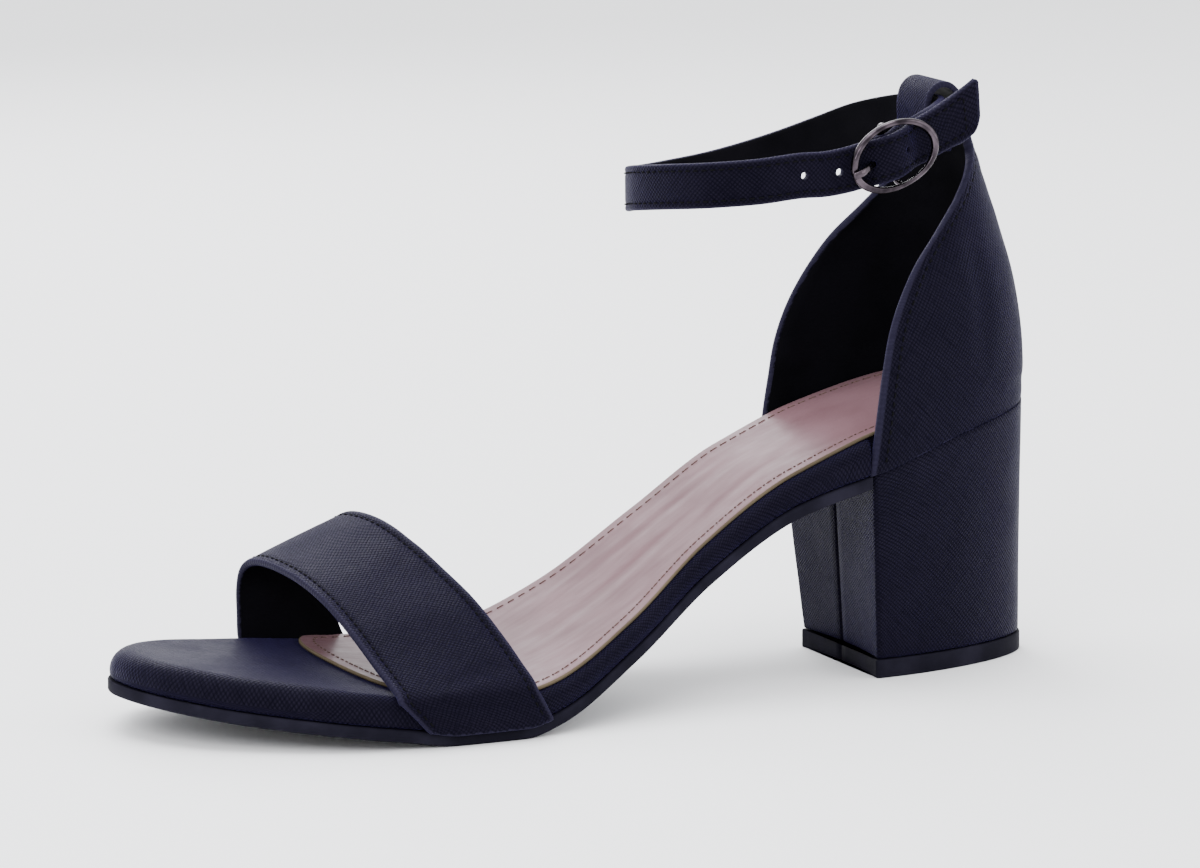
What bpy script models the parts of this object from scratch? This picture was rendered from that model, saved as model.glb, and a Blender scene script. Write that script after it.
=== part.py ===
"""Block heel sandal for the left foot, at its real size in metres, +Z up.

The toe points to -X and the heel to +X. The outer side of the foot is -Y and the inner side is +Y.
The shoe stands on its forefoot and on its top lift, on the plane z = 0.
Each piece that a shoemaker cuts or moulds is an object of its own.
"""
import math

import bmesh
import bpy
import numpy as np

MM = 0.001

# Main sizes of the last
LENGTH = 234.3 * MM
TOE_X = -117.9 * MM
BALL_WIDTH = 80.6 * MM
SEAT_WIDTH = 52.6 * MM
TOE_SPRING = 9.4 * MM
SEAT_RISE = 62.2 * MM

# Sole pieces
OUTSOLE_THICKNESS = 3.0 * MM
OUTSOLE_LIP = 0.5 * MM
BOARD_THICKNESS = 7.5 * MM
BOARD_EDGE_RADIUS = 3.2 * MM
BOARD_FOOT_CHAMFER = 0.7 * MM
SOCK_THICKNESS = 0.8 * MM
SOCK_MARGIN = 3.0 * MM
SOCK_SEAT_MARGIN = 0.7 * MM
SOCK_FRONT_X = -65.5 * MM
SOCK_FRONT_ROUND = 11.0 * MM
GAP = 0.3 * MM

# Block heel
HEEL_FRONT_X = 66.6 * MM
HEEL_FOOT_FRONT_X = 70.7 * MM
HEEL_FOOT_REAR_X = 119.0 * MM
HEEL_FOOT_OUTER_HALF = 19.9 * MM
HEEL_FOOT_INNER_HALF = 22.0 * MM
HEEL_CORNER_RADIUS = 1.2 * MM
HEEL_FOOT_FULLNESS = 1.85
HEEL_SEAT_FULLNESS = 2.6
BREAST_HOLLOW = 1.6 * MM
BREAST_SEAM_WIDTH = 1.5 * MM
BREAST_SEAM_DEPTH = 0.8 * MM
BREAST_SEAM_FOOT_Y = 3.0 * MM
BREAST_SEAM_TOP_Y = -3.5 * MM
LIFT_THICKNESS = 4.6 * MM
LIFT_LIP = 0.4 * MM

# Closed back with the folded loop
SEAT_FRONT_X = 64.8 * MM
SEAT_REAR_X = 116.9 * MM
COUNTER_FRONT_X = 66.0 * MM
COUNTER_REACH = 52.0 * MM
COUNTER_HEIGHT = 76.0 * MM
COUNTER_WALL = 2.0 * MM
COUNTER_INNER_LEAD = 5.0 * MM
COUNTER_FIT = 0.5 * MM
LOOP_WALL = 1.5 * MM
LOOP_WIDTH = 15.0 * MM
LOOP_DEPTH = 9.9 * MM
LOOP_HEIGHT = 16.4 * MM

# Wide band over the toes
TOE_STRAP_WALL = 1.8 * MM
TOE_STRAP_FRONT_HEIGHT = 34.5 * MM
TOE_STRAP_REAR_HEIGHT = 43.4 * MM

# Strap around the ankle
ANKLE_STRAP_WIDTH = 11.0 * MM
ANKLE_STRAP_THICKNESS = 2.0 * MM
ANKLE_STRAP_SKIVED = 1.1 * MM
ANKLE_HOLE_DIAMETER = 2.0 * MM
ANKLE_HOLE_SPACING = 8.8 * MM
OPEN_HOLES = (-2, -1, 1)
PRONG_HOLE_REACH = -5.1 * MM
ANKLE_HALF_WIDTH = 28.5 * MM
ANKLE_RING_FRONT_X = 17.7 * MM
ANKLE_RING_LENGTH = 76.6 * MM
ANKLE_FRONT_Z = 122.0 * MM

# Buckle
BUCKLE_X = 69.8 * MM
BUCKLE_Z = 130.4 * MM
BUCKLE_FACE_OFFSET = 2.6 * MM
BUCKLE_HALF_LENGTH = 11.1 * MM
BUCKLE_HALF_HEIGHT = 7.7 * MM
BUCKLE_WIRE_RADIUS = 0.95 * MM
BUCKLE_BAR_RADIUS = 0.75 * MM
BUCKLE_BAR_RECESS = 3.6 * MM
BUCKLE_TILT = math.radians(19.0)
PRONG_RADIUS = 0.65 * MM

# Numbers of stations along the round and swept pieces
BOARD_STATIONS = 37
FOLD_STATIONS = 25
STRAP_STATIONS = 66
BUCKLE_STATIONS = 36

SMALL = 1e-6

# Half widths of the footbed, as shares of the ball width and of the seat width
OUTLINE_COLUMNS = ("along", "outer_of_ball", "outer_of_seat", "inner_of_ball", "inner_of_seat")
OUTLINE = (
    (0.00, -0.090, 0.000, 0.090, 0.000),
    (0.10, 0.340, 0.000, 0.415, 0.000),
    (0.20, 0.488, 0.000, 0.448, 0.000),
    (0.30, 0.522, 0.000, 0.478, 0.000),
    (0.40, 0.515, 0.000, 0.408, 0.000),
    (0.50, 0.427, 0.000, 0.329, 0.000),
    (0.60, 0.000, 0.514, 0.000, 0.453),
    (0.70, 0.000, 0.515, 0.000, 0.455),
    (0.78, 0.000, 0.500, 0.000, 0.500),
)

# Underside of the footbed above the outsole, and its thickness
PROFILE_COLUMNS = ("along", "of_toe_spring", "of_seat_rise", "of_board_thickness")
PROFILE = (
    (0.00, 1.000, 0.000, 0.96),
    (0.10, 0.620, 0.000, 1.00),
    (0.18, 0.370, 0.000, 1.00),
    (0.24, 0.170, 0.000, 1.00),
    (0.29, 0.000, 0.000, 1.03),
    (0.36, 0.000, 0.000, 0.90),
    (0.40, 0.000, 0.036, 0.79),
    (0.50, 0.000, 0.227, 0.68),
    (0.60, 0.000, 0.473, 0.75),
    (0.70, 0.000, 0.696, 0.84),
    (0.80, 0.000, 0.795, 1.15),
    (0.90, 0.000, 0.920, 0.93),
    (1.00, 0.000, 1.000, 0.76),
)

# Front edge and rear line of the closed back, by height above the footbed's underside
COUNTER_COLUMNS = ("rise", "edge_reach", "half_of_seat", "inner_lead", "rear_reach", "fullness", "flare")
COUNTER = (
    (0.00, 0.010, 0.500, 1.00, 0.950, 2.6, 1.00),
    (0.10, 0.030, 0.508, 1.00, 0.968, 2.6, 1.00),
    (0.22, 0.048, 0.520, 0.80, 0.980, 2.5, 1.00),
    (0.34, 0.072, 0.524, 0.66, 0.982, 2.4, 1.00),
    (0.46, 0.112, 0.514, 0.40, 0.968, 2.3, 1.00),
    (0.58, 0.185, 0.496, 0.10, 0.940, 2.2, 1.05),
    (0.68, 0.280, 0.462, 0.00, 0.903, 2.1, 1.15),
    (0.77, 0.405, 0.412, 0.00, 0.868, 2.1, 1.30),
    (0.86, 0.525, 0.362, 0.00, 0.823, 2.0, 1.50),
    (0.93, 0.610, 0.300, 0.00, 0.790, 2.0, 1.75),
    (0.97, 0.660, 0.235, 0.00, 0.772, 2.0, 1.90),
    (1.00, 0.700, 0.160, 0.00, 0.752, 2.0, 2.00),
)
COUNTER_REAR_START = 0.155

# Outer face of the folded loop: depth forward of the back's top and height above it
LOOP_COLUMNS = ("of_depth", "of_height")
LOOP = (
    (0.00, 0.000),
    (0.12, 0.220),
    (0.28, 0.460),
    (0.42, 0.680),
    (0.60, 0.860),
    (0.88, 0.985),
    (1.18, 0.980),
    (1.42, 0.860),
    (1.53, 0.640),
    (1.53, 0.380),
    (1.51, 0.130),
    (1.37, -0.020),
    (1.10, -0.052),
    (0.84, -0.056),
)

# Arch of the toe strap from the outer side to the inner side
ARCH_COLUMNS = ("across", "front_rise", "rear_rise")
ARCH = (
    (0.000, 0.340, 0.270),
    (0.025, 0.400, 0.330),
    (0.080, 0.465, 0.405),
    (0.160, 0.555, 0.515),
    (0.300, 0.721, 0.680),
    (0.450, 0.868, 0.805),
    (0.600, 0.960, 0.915),
    (0.740, 0.998, 0.985),
    (0.860, 1.000, 1.000),
    (0.940, 0.960, 0.972),
    (0.985, 0.875, 0.900),
    (1.004, 0.740, 0.760),
    (1.003, 0.560, 0.560),
    (1.000, 0.400, 0.350),
)
TOE_STRAP_EDGES = {
    "front": {"outer_foot": 0.2554, "outer_top": 0.2275, "inner_top": 0.1867, "inner_foot": 0.1960},
    "rear": {"outer_foot": 0.3880, "outer_top": 0.3712, "inner_top": 0.2940, "inner_foot": 0.3050},
}

# Middle line of the ankle strap: place along the ring, side, and height over its front
ANKLE_COLUMNS = ("along_ring", "of_half_width", "above_front_mm")
ANKLE = (
    (0.835, -0.740, 11.0),
    (0.930, -0.500, 12.2),
    (1.002, -0.250, 12.9),
    (1.014, 0.000, 12.8),
    (1.008, 0.260, 12.1),
    (0.976, 0.540, 10.7),
    (0.895, 0.800, 8.3),
    (0.800, 0.930, 5.3),
    (0.620, 1.000, 1.2),
    (0.420, 0.993, -1.8),
    (0.210, 0.890, -3.1),
    (0.055, 0.580, -2.4),
    (0.000, 0.170, -0.4),
    (0.022, -0.310, 1.5),
    (0.110, -0.740, 3.0),
    (0.240, -0.930, 3.9),
    (0.380, -0.975, 4.8),
)

# Sewn-down end of the fold on the bar, and where its outer ply leaves the bar
FOLD_INNER_END_COLUMNS = ("along_mm", "behind_wrap_mm")
FOLD_INNER_END = (
    (7.5, 3.6),
    (3.4, 1.1),
)
FOLD_OUTER_ALONG = 3.8 * MM
FOLD_OUTER_DROP = 2.1 * MM

# Free end past the buckle, in the buckle's own directions
FREE_END_COLUMNS = ("along_mm", "out_of_bar_mm", "up_mm")
FREE_END = (
    (-17.0, 0.35, 2.0),
    (-11.6, 0.80, 0.9),
    (-6.4, 1.25, 0.3),
    (-3.0, 3.00, 0.0),
    (0.0, 3.75, 0.0),
    (3.0, 3.00, 0.0),
    (6.4, 1.25, 0.0),
    (11.6, 0.75, 0.3),
    (17.0, 0.60, 0.8),
    (21.9, 0.80, 1.6),
    (24.4, 0.90, 2.3),
)

# Half of the buckle's bar, from its end in the frame to the start of its straight middle
BAR_COLUMNS = ("of_half_height", "of_recess")
BAR = (
    (-1.000, 0.000),
    (-1.000, 0.250),
    (-0.995, 0.480),
    (-0.975, 0.670),
    (-0.935, 0.830),
    (-0.875, 0.945),
    (-0.800, 1.000),
)
TIP_SLANT = 3.4 * MM
TIP_ROUND = 3.0 * MM


def column(table, columns, name):
    """Return one named column of a table as an array."""
    return np.array([row[columns.index(name)] for row in table], dtype=float)


def through(knots, values, at, keep_flat=False):
    """Cubic curve through the knots; keep_flat stops it from swinging past flat stretches."""
    knots = np.asarray(knots, float)
    values = np.asarray(values, float)
    steps = np.diff(knots)
    rises = np.diff(values) / steps
    slopes = np.empty_like(values)
    slopes[0], slopes[-1] = rises[0], rises[-1]
    before, after = rises[:-1], rises[1:]
    slopes[1:-1] = (before * steps[1:] + after * steps[:-1]) / (steps[1:] + steps[:-1])
    if keep_flat:
        same = before * after > 0
        total = np.where(same, before + after, 1.0)
        slopes[1:-1] = np.where(same, 2 * before * after / total, 0.0)
    at = np.clip(np.asarray(at, float), knots[0], knots[-1])
    cell = np.clip(np.searchsorted(knots, at, side="right") - 1, 0, len(steps) - 1)
    part = (at - knots[cell]) / steps[cell]
    start, end = values[cell], values[cell + 1]
    lean_start, lean_end = slopes[cell] * steps[cell], slopes[cell + 1] * steps[cell]
    square, cube = part**2, part**3
    return (
        start * (2 * cube - 3 * square + 1)
        + lean_start * (cube - 2 * square + part)
        + end * (3 * square - 2 * cube)
        + lean_end * (cube - square)
    )


def smooth_path(points, count):
    """Resample a list of points as a smooth path with evenly spaced points."""
    points = np.asarray(points, float)
    lengths = np.linalg.norm(np.diff(points, axis=0), axis=1)
    knots = np.concatenate([[0.0], np.cumsum(lengths)])
    fine = np.linspace(0.0, knots[-1], 20 * count)
    curve = np.stack([through(knots, points[:, k], fine) for k in range(points.shape[1])], axis=1)
    walked = np.concatenate([[0.0], np.cumsum(np.linalg.norm(np.diff(curve, axis=0), axis=1))])
    even = np.linspace(0.0, walked[-1], count)
    return np.stack([np.interp(even, walked, curve[:, k]) for k in range(points.shape[1])], axis=1)


def ease(value, start, end):
    """Smooth step from 0 at start to 1 at end."""
    share = np.clip((np.asarray(value, float) - start) / (end - start), 0.0, 1.0)
    return share * share * (3 - 2 * share)


def along_of(x):
    """Place along the footbed, 0 at the toe and 1 at the back."""
    return (np.asarray(x, float) - TOE_X) / LENGTH


def x_of(along):
    """Lengthwise coordinate of a place along the footbed."""
    return TOE_X + np.asarray(along, float) * LENGTH


def seat_half(x):
    """Half width of the heel seat with its rounded back, the same on both sides."""
    reach = np.clip((np.asarray(x, float) - SEAT_FRONT_X) / (SEAT_REAR_X - SEAT_FRONT_X), 0.0, 1.0)
    fullness = COUNTER[0][COUNTER_COLUMNS.index("fullness")]
    return SEAT_WIDTH / 2 * (1 - reach**fullness) ** (1 / fullness)


def half_width(x, side):
    """Half width of the footbed at x, on the outer or the inner side."""
    x = np.asarray(x, float)
    along = column(OUTLINE, OUTLINE_COLUMNS, "along")
    widths = (
        column(OUTLINE, OUTLINE_COLUMNS, side + "_of_ball") * BALL_WIDTH
        + column(OUTLINE, OUTLINE_COLUMNS, side + "_of_seat") * SEAT_WIDTH
    )
    turn = np.arccos(1 - 2 * along) / math.pi
    here = np.arccos(1 - 2 * np.clip(along_of(x), 0.0, 1.0)) / math.pi
    front = through(turn, widths, here)
    return np.where(x < SEAT_FRONT_X, front, seat_half(x))


def underside(x):
    """Height of the footbed's underside, which is also the level of the heel seat."""
    along = column(PROFILE, PROFILE_COLUMNS, "along")
    rise = (
        column(PROFILE, PROFILE_COLUMNS, "of_toe_spring") * TOE_SPRING
        + column(PROFILE, PROFILE_COLUMNS, "of_seat_rise") * SEAT_RISE
    )
    return OUTSOLE_THICKNESS + GAP + through(along, rise, along_of(x), keep_flat=True)


def board_top(x):
    """Height of the footbed's upper face."""
    along = column(PROFILE, PROFILE_COLUMNS, "along")
    thickness = column(PROFILE, PROFILE_COLUMNS, "of_board_thickness") * BOARD_THICKNESS
    return underside(x) + through(along, thickness, along_of(x), keep_flat=True)


def sole_stations(first, last, count):
    """Places along the sole, closer together at rounded ends."""
    turn = np.linspace(0.0, math.pi, count)
    return first + (last - first) * (1 - np.cos(turn)) / 2


def outline_loop(xs, outer, inner):
    """Closed plan loop from the front pole along the outer side, and back along the inner side."""
    outer_side = np.stack([xs, -outer], axis=1)
    inner_side = np.stack([xs, inner], axis=1)[-2:0:-1]
    return np.concatenate([outer_side, inner_side])


def inset_loop(loop, amount):
    """Move each point of a plan loop inward by its own amount."""
    along = np.roll(loop, -1, axis=0) - np.roll(loop, 1, axis=0)
    along /= np.maximum(np.linalg.norm(along, axis=1, keepdims=True), SMALL)
    inward = np.stack([-along[:, 1], along[:, 0]], axis=1)
    return loop + inward * np.broadcast_to(amount, len(loop))[:, None]


def new_object(name, points, faces, material):
    """Make one closed, smooth-shaded mesh object in the shoe's frame."""
    mesh = bpy.data.meshes.new(name)
    mesh.from_pydata([tuple(p) for p in points], [], [tuple(f) for f in faces])
    work = bmesh.new()
    work.from_mesh(mesh)
    bmesh.ops.remove_doubles(work, verts=work.verts, dist=SMALL)
    bmesh.ops.dissolve_degenerate(work, edges=work.edges, dist=SMALL)
    bmesh.ops.recalc_face_normals(work, faces=work.faces)
    if work.calc_volume(signed=True) < 0:
        bmesh.ops.reverse_faces(work, faces=work.faces)
    work.to_mesh(mesh)
    work.free()
    mesh.shade_smooth()
    mesh.set_sharp_from_angle(angle=math.radians(35))
    mesh.materials.append(material)
    thing = bpy.data.objects.new(name, mesh)
    bpy.context.scene.collection.objects.link(thing)
    return thing


def slab(name, loops, columns, material, bottom_z=None, top_z=None, front=0, rear=0):
    """Solid from stacked plan loops, closed by rows across bottom and top.

    front and rear count the points on each side that lie on a straight front or rear edge;
    columns is then twice that count.
    """
    loops = np.asarray(loops, float)
    levels, count = loops.shape[:2]
    half = count // 2
    points = [p for level in loops for p in level]
    faces = []
    for level in range(levels - 1):
        for k in range(count):
            after = (k + 1) % count
            low, high = level * count, (level + 1) * count
            faces.append((low + k, low + after, high + after, high + k))
    for level, height in ((0, bottom_z), (levels - 1, top_z)):
        base = level * count
        rows = [[base + (step % count) for step in range(front, -front - 1, -1)]]
        for k in range(front + 1, half - rear):
            left, right = loops[level, k], loops[level, count - k]
            row = [base + k]
            for step in range(1, columns):
                point = left + (right - left) * step / columns
                if height is not None:
                    point[2] = height(point[0])
                row.append(len(points))
                points.append(point)
            row.append(base + count - k)
            rows.append(row)
        rows.append([base + step for step in range(half - rear, half + rear + 1)])
        for row, after in zip(rows[:-1], rows[1:]):
            for step in range(columns):
                corner = [row[min(step, len(row) - 1)], row[min(step + 1, len(row) - 1)]]
                corner += [after[min(step + 1, len(after) - 1)], after[min(step, len(after) - 1)]]
                face = list(dict.fromkeys(corner))
                faces.append(face if level else face[::-1])
    return new_object(name, points, faces, material)


def wall(name, outer, thickness, material):
    """Solid from a grid of outer points, with the inner face set in along the normals."""
    outer = np.asarray(outer, float)
    rows, columns = outer.shape[:2]
    thickness = np.broadcast_to(thickness, rows)[:, None, None]
    across = np.gradient(outer, axis=1)
    down = np.gradient(outer, axis=0)
    normal = np.cross(across, down)
    normal /= np.maximum(np.linalg.norm(normal, axis=2, keepdims=True), SMALL**2)
    inner = outer - normal * thickness
    points = np.concatenate([outer.reshape(-1, 3), inner.reshape(-1, 3)])
    size = rows * columns
    faces = []
    for r in range(rows - 1):
        for c in range(columns - 1):
            a, b = r * columns + c, r * columns + c + 1
            d, e = a + columns, b + columns
            faces.append((a, b, e, d))
            faces.append((size + d, size + e, size + b, size + a))
    rim = [c for c in range(columns)]
    rim += [r * columns + columns - 1 for r in range(1, rows)]
    rim += [(rows - 1) * columns + c for c in range(columns - 2, -1, -1)]
    rim += [r * columns for r in range(rows - 2, 0, -1)]
    for a, b in zip(rim, rim[1:] + rim[:1]):
        faces.append((b, a, size + a, size + b))
    return new_object(name, points, faces, material)


def sweep(path, widths, ups, section, closed=False):
    """Carry a section of (side, up) shares along a path, with its up direction near the given one."""
    path = np.asarray(path, float)
    count, sides = len(path), len(section)
    tangent = np.gradient(path, axis=0)
    if closed:
        tangent = np.roll(path, -1, axis=0) - np.roll(path, 1, axis=0)
    tangent /= np.linalg.norm(tangent, axis=1, keepdims=True)
    side = np.cross(tangent, ups)
    side /= np.linalg.norm(side, axis=1, keepdims=True)
    up = np.cross(side, tangent)
    shape = np.asarray(section, float)
    widths = np.asarray(widths, float)
    points = (
        path[:, None, :]
        + side[:, None, :] * (shape[None, :, 0] * widths[:, None, 0])[..., None]
        + up[:, None, :] * (shape[None, :, 1] * widths[:, None, 1])[..., None]
    )
    faces = []
    for k in range(count if closed else count - 1):
        after = (k + 1) % count
        for s in range(sides):
            t = (s + 1) % sides
            faces.append((k * sides + s, k * sides + t, after * sides + t, after * sides + s))
    if not closed:
        faces.append(tuple(range(sides))[::-1])
        faces.append(tuple((count - 1) * sides + s for s in range(sides)))
    return points, faces


def round_section(sides):
    """Unit circle with the given number of sides."""
    turn = np.arange(sides) * 2 * math.pi / sides
    return np.stack([np.cos(turn), np.sin(turn)], axis=1)


def cut_or_join(target, tool, operation):
    """Apply a Boolean of one tool object to the target, and remove the tool."""
    modifier = target.modifiers.new(operation.title(), "BOOLEAN")
    modifier.operation = operation
    modifier.solver = "EXACT"
    modifier.object = tool
    graph = bpy.context.evaluated_depsgraph_get()
    shaped = bpy.data.meshes.new_from_object(target.evaluated_get(graph))
    target.modifiers.clear()
    target.data = shaped
    bpy.data.objects.remove(tool)


def material(name, colour, roughness, metallic=0.0):
    """Principled material with one colour."""
    made = bpy.data.materials.new(name)
    made.use_nodes = True
    shader = made.node_tree.nodes["Principled BSDF"]
    shader.inputs["Base Color"].default_value = (*colour, 1.0)
    shader.inputs["Roughness"].default_value = roughness
    shader.inputs["Metallic"].default_value = metallic
    return made


def seat_rebate(x, side):
    """How far the footbed steps in where the closed back wraps it, on either side."""
    depth = COUNTER_WALL + COUNTER_FIT
    start = COUNTER_FRONT_X - (COUNTER_INNER_LEAD if side == "inner" else 0.0)
    return depth * ease(x, start - depth, start - GAP)


def build_outsole():
    """Thin sole sheet from the toe to the breast of the heel."""
    end = HEEL_FRONT_X - GAP
    xs = sole_stations(TOE_X, 2 * end - TOE_X, 57)[:29]
    outer = half_width(xs, "outer")
    inner = half_width(xs, "inner")
    cut_shares = np.array([0.66, 0.33, 0.0])
    xs = np.concatenate([xs, np.full(3, end)])
    outer = np.concatenate([outer, outer[-1] * cut_shares])
    inner = np.concatenate([inner, inner[-1] * cut_shares])
    plan = outline_loop(xs, outer, inner)
    free = 1 - ease(plan[:, 0], end - 2 * OUTSOLE_THICKNESS, end - SMALL)
    loops = []
    for inset, share in ((OUTSOLE_LIP, 0.0), (0.0, 0.25), (0.0, 1.0)):
        shaped = inset_loop(plan, (inset - OUTSOLE_LIP) * free)
        low = underside(shaped[:, 0]) - GAP - OUTSOLE_THICKNESS
        loops.append(np.column_stack([shaped, low + OUTSOLE_THICKNESS * share]))
    return slab(
        "outsole", loops, 6, material("Outsole rubber", (0.012, 0.012, 0.014), 0.75),
        bottom_z=lambda x: float(underside(x)) - GAP - OUTSOLE_THICKNESS,
        top_z=lambda x: float(underside(x)) - GAP, rear=3,
    )


def build_footbed():
    """Wrapped footbed board with a rounded upper edge and a flat seat."""
    depth = COUNTER_WALL + COUNTER_FIT
    inner_step = COUNTER_FRONT_X - COUNTER_INNER_LEAD
    steps = [inner_step - depth, inner_step - GAP, COUNTER_FRONT_X - depth, COUNTER_FRONT_X - GAP]
    xs = np.sort(np.concatenate([sole_stations(TOE_X, SEAT_REAR_X, BOARD_STATIONS), steps]))
    plan = outline_loop(xs, half_width(xs, "outer"), half_width(xs, "inner"))
    rebate = np.where(plan[:, 1] < 0, seat_rebate(plan[:, 0], "outer"), seat_rebate(plan[:, 0], "inner"))
    radius = BOARD_EDGE_RADIUS
    turns = np.radians((0.0, 30.0, 60.0, 90.0))
    loops = []
    for rise in (0.0, BOARD_FOOT_CHAMFER):
        shaped = inset_loop(plan, rebate + BOARD_FOOT_CHAMFER - rise)
        loops.append(np.column_stack([shaped, underside(shaped[:, 0]) + rise]))
    for turn in turns:
        shaped = inset_loop(plan, rebate + radius * (1 - math.cos(turn)))
        height = board_top(shaped[:, 0]) - radius * (1 - math.sin(turn))
        loops.append(np.column_stack([shaped, height]))
    return slab(
        "footbed", loops, 6, material("Wrapped footbed", (0.016, 0.015, 0.026), 0.42),
        bottom_z=lambda x: float(underside(x)), top_z=lambda x: float(board_top(x)),
    )


def build_sock():
    """Insole sock that lines the footbed from under the toe strap to the back."""
    rear = SEAT_REAR_X - COUNTER_WALL - COUNTER_FIT - SOCK_SEAT_MARGIN
    board_xs = sole_stations(TOE_X, SEAT_REAR_X, BOARD_STATIONS)
    front_xs = SOCK_FRONT_X + SOCK_FRONT_ROUND * np.array([0.0, 0.02, 0.08, 0.2, 0.45])
    rear_xs = rear - SOCK_FRONT_ROUND * np.array([0.5, 0.2, 0.08, 0.02, 0.0])
    kept = board_xs[(board_xs > front_xs[-1] + SOCK_MARGIN) & (board_xs < rear_xs[0] - SOCK_MARGIN)]
    xs = np.concatenate([front_xs, kept, rear_xs])
    seat_share = ease(xs, COUNTER_FRONT_X - 3 * SOCK_MARGIN, COUNTER_FRONT_X)
    margin = SOCK_MARGIN + (SOCK_SEAT_MARGIN - SOCK_MARGIN) * seat_share
    blunt = np.clip((xs - SOCK_FRONT_X) / SOCK_FRONT_ROUND, 0.0, 1.0)
    blunt = (1 - (1 - blunt) ** 2.6) ** (1 / 2.6)
    reach = (SEAT_REAR_X - SEAT_FRONT_X) / (rear - SEAT_FRONT_X)
    at = np.where(xs > SEAT_FRONT_X, SEAT_FRONT_X + (xs - SEAT_FRONT_X) * reach, xs)
    halves = []
    for side in ("outer", "inner"):
        set_in = margin + seat_rebate(xs, side)
        share = 1 - set_in / (SEAT_WIDTH / 2)
        half = np.where(xs > SEAT_FRONT_X, seat_half(at) * share, half_width(xs, side) - set_in)
        halves.append(half * blunt)
    plan = outline_loop(xs, *halves)
    loops = []
    for rise in (0.0, SOCK_THICKNESS):
        loops.append(np.column_stack([plan, board_top(plan[:, 0]) + GAP + rise]))
    return slab(
        "insole_sock", loops, 4, material("Sock lining", (0.62, 0.45, 0.38), 0.45),
        bottom_z=lambda x: float(board_top(x)) + GAP,
        top_z=lambda x: float(board_top(x)) + GAP + SOCK_THICKNESS,
    )


def heel_plan(share, lip=0.0):
    """Plan loop of the block heel, from its foot at share 0 to the seat at share 1."""
    front = HEEL_FOOT_FRONT_X + (HEEL_FRONT_X - HEEL_FOOT_FRONT_X) * share - lip
    rear = HEEL_FOOT_REAR_X + (SEAT_REAR_X - HEEL_FOOT_REAR_X) * share + lip
    outer_half = HEEL_FOOT_OUTER_HALF + (SEAT_WIDTH / 2 - HEEL_FOOT_OUTER_HALF) * share + lip
    inner_half = HEEL_FOOT_INNER_HALF + (SEAT_WIDTH / 2 - HEEL_FOOT_INNER_HALF) * share + lip
    fullness = HEEL_FOOT_FULLNESS + (HEEL_SEAT_FULLNESS - HEEL_FOOT_FULLNESS) * share
    hollow = BREAST_HOLLOW * (1 - share)
    turn = np.linspace(0.0, math.pi / 2, 15)[1:]
    side_x = front + HEEL_CORNER_RADIUS + (rear - front - HEEL_CORNER_RADIUS) * np.sin(turn) ** (2 / fullness)
    side_share = np.abs(np.cos(turn)) ** (2 / fullness)
    side_share[-1] = 0.0
    seam_y = BREAST_SEAM_FOOT_Y + (BREAST_SEAM_TOP_Y - BREAST_SEAM_FOOT_Y) * share
    sides = []
    for half, seam_side in ((outer_half, -seam_y), (inner_half, seam_y)):
        seam = seam_side + BREAST_SEAM_WIDTH / 2
        breast = np.array([seam_side, seam, 0.45 * half, 0.75 * half, half - HEEL_CORNER_RADIUS])
        breast_x = front + hollow * (1 - (breast / half) ** 2)
        breast_x[0] += BREAST_SEAM_DEPTH
        corner = half - HEEL_CORNER_RADIUS * (1 - math.sin(math.pi / 4))
        corner_x = front + HEEL_CORNER_RADIUS * (1 - math.sin(math.pi / 4))
        ys = np.concatenate([breast, [corner, half], half * side_share])
        xs = np.concatenate([breast_x, [corner_x, front + HEEL_CORNER_RADIUS], side_x])
        sides.append(np.stack([xs, ys], axis=1))
    outer_side = sides[0] * (1, -1)
    return np.concatenate([outer_side, sides[1][-2:0:-1]])


def build_heel():
    """Wrapped block heel with a hollow breast and a seam down its middle."""
    foot = LIFT_THICKNESS + GAP
    loops = []
    for share in np.linspace(0.0, 1.0, 5):
        plan = heel_plan(share)
        top = underside(heel_plan(1.0)[:, 0]) - GAP
        loops.append(np.column_stack([plan, foot + (top - foot) * share]))
    return slab(
        "heel_block", loops, 12, material("Wrapped heel", (0.016, 0.015, 0.026), 0.42),
        top_z=lambda x: float(underside(x)) - GAP, front=6,
    )


def build_lift():
    """Top lift under the heel, a little proud of the wrap."""
    plan = heel_plan(0.0, LIFT_LIP)
    loops = [np.column_stack([plan, np.full(len(plan), z)]) for z in (0.0, LIFT_THICKNESS)]
    return slab("top_lift", loops, 12, material("Top lift", (0.012, 0.012, 0.013), 0.7), front=6)


def counter_row(rise, rear_rise, turns):
    """One row of the closed back: its plan curve between the two front edges."""
    rises = column(COUNTER, COUNTER_COLUMNS, "rise")

    def read(name, at):
        return float(through(rises, column(COUNTER, COUNTER_COLUMNS, name), at))

    edge = COUNTER_FRONT_X + read("edge_reach", rise) * COUNTER_REACH
    lead = read("inner_lead", rise) * COUNTER_INNER_LEAD
    half = read("half_of_seat", rise) * SEAT_WIDTH
    rear = COUNTER_FRONT_X + read("rear_reach", rear_rise) * COUNTER_REACH
    fullness = read("fullness", rise)
    depth = np.cos(turns) ** (2 / fullness * read("flare", rise))
    depth[0] = depth[-1] = 0.0
    side = np.sign(turns) * np.abs(np.sin(turns)) ** (2 / fullness)
    front = np.where(turns > 0, edge - lead, edge)
    return np.stack([front + (rear - front) * depth, side * half], axis=1), depth


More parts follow.
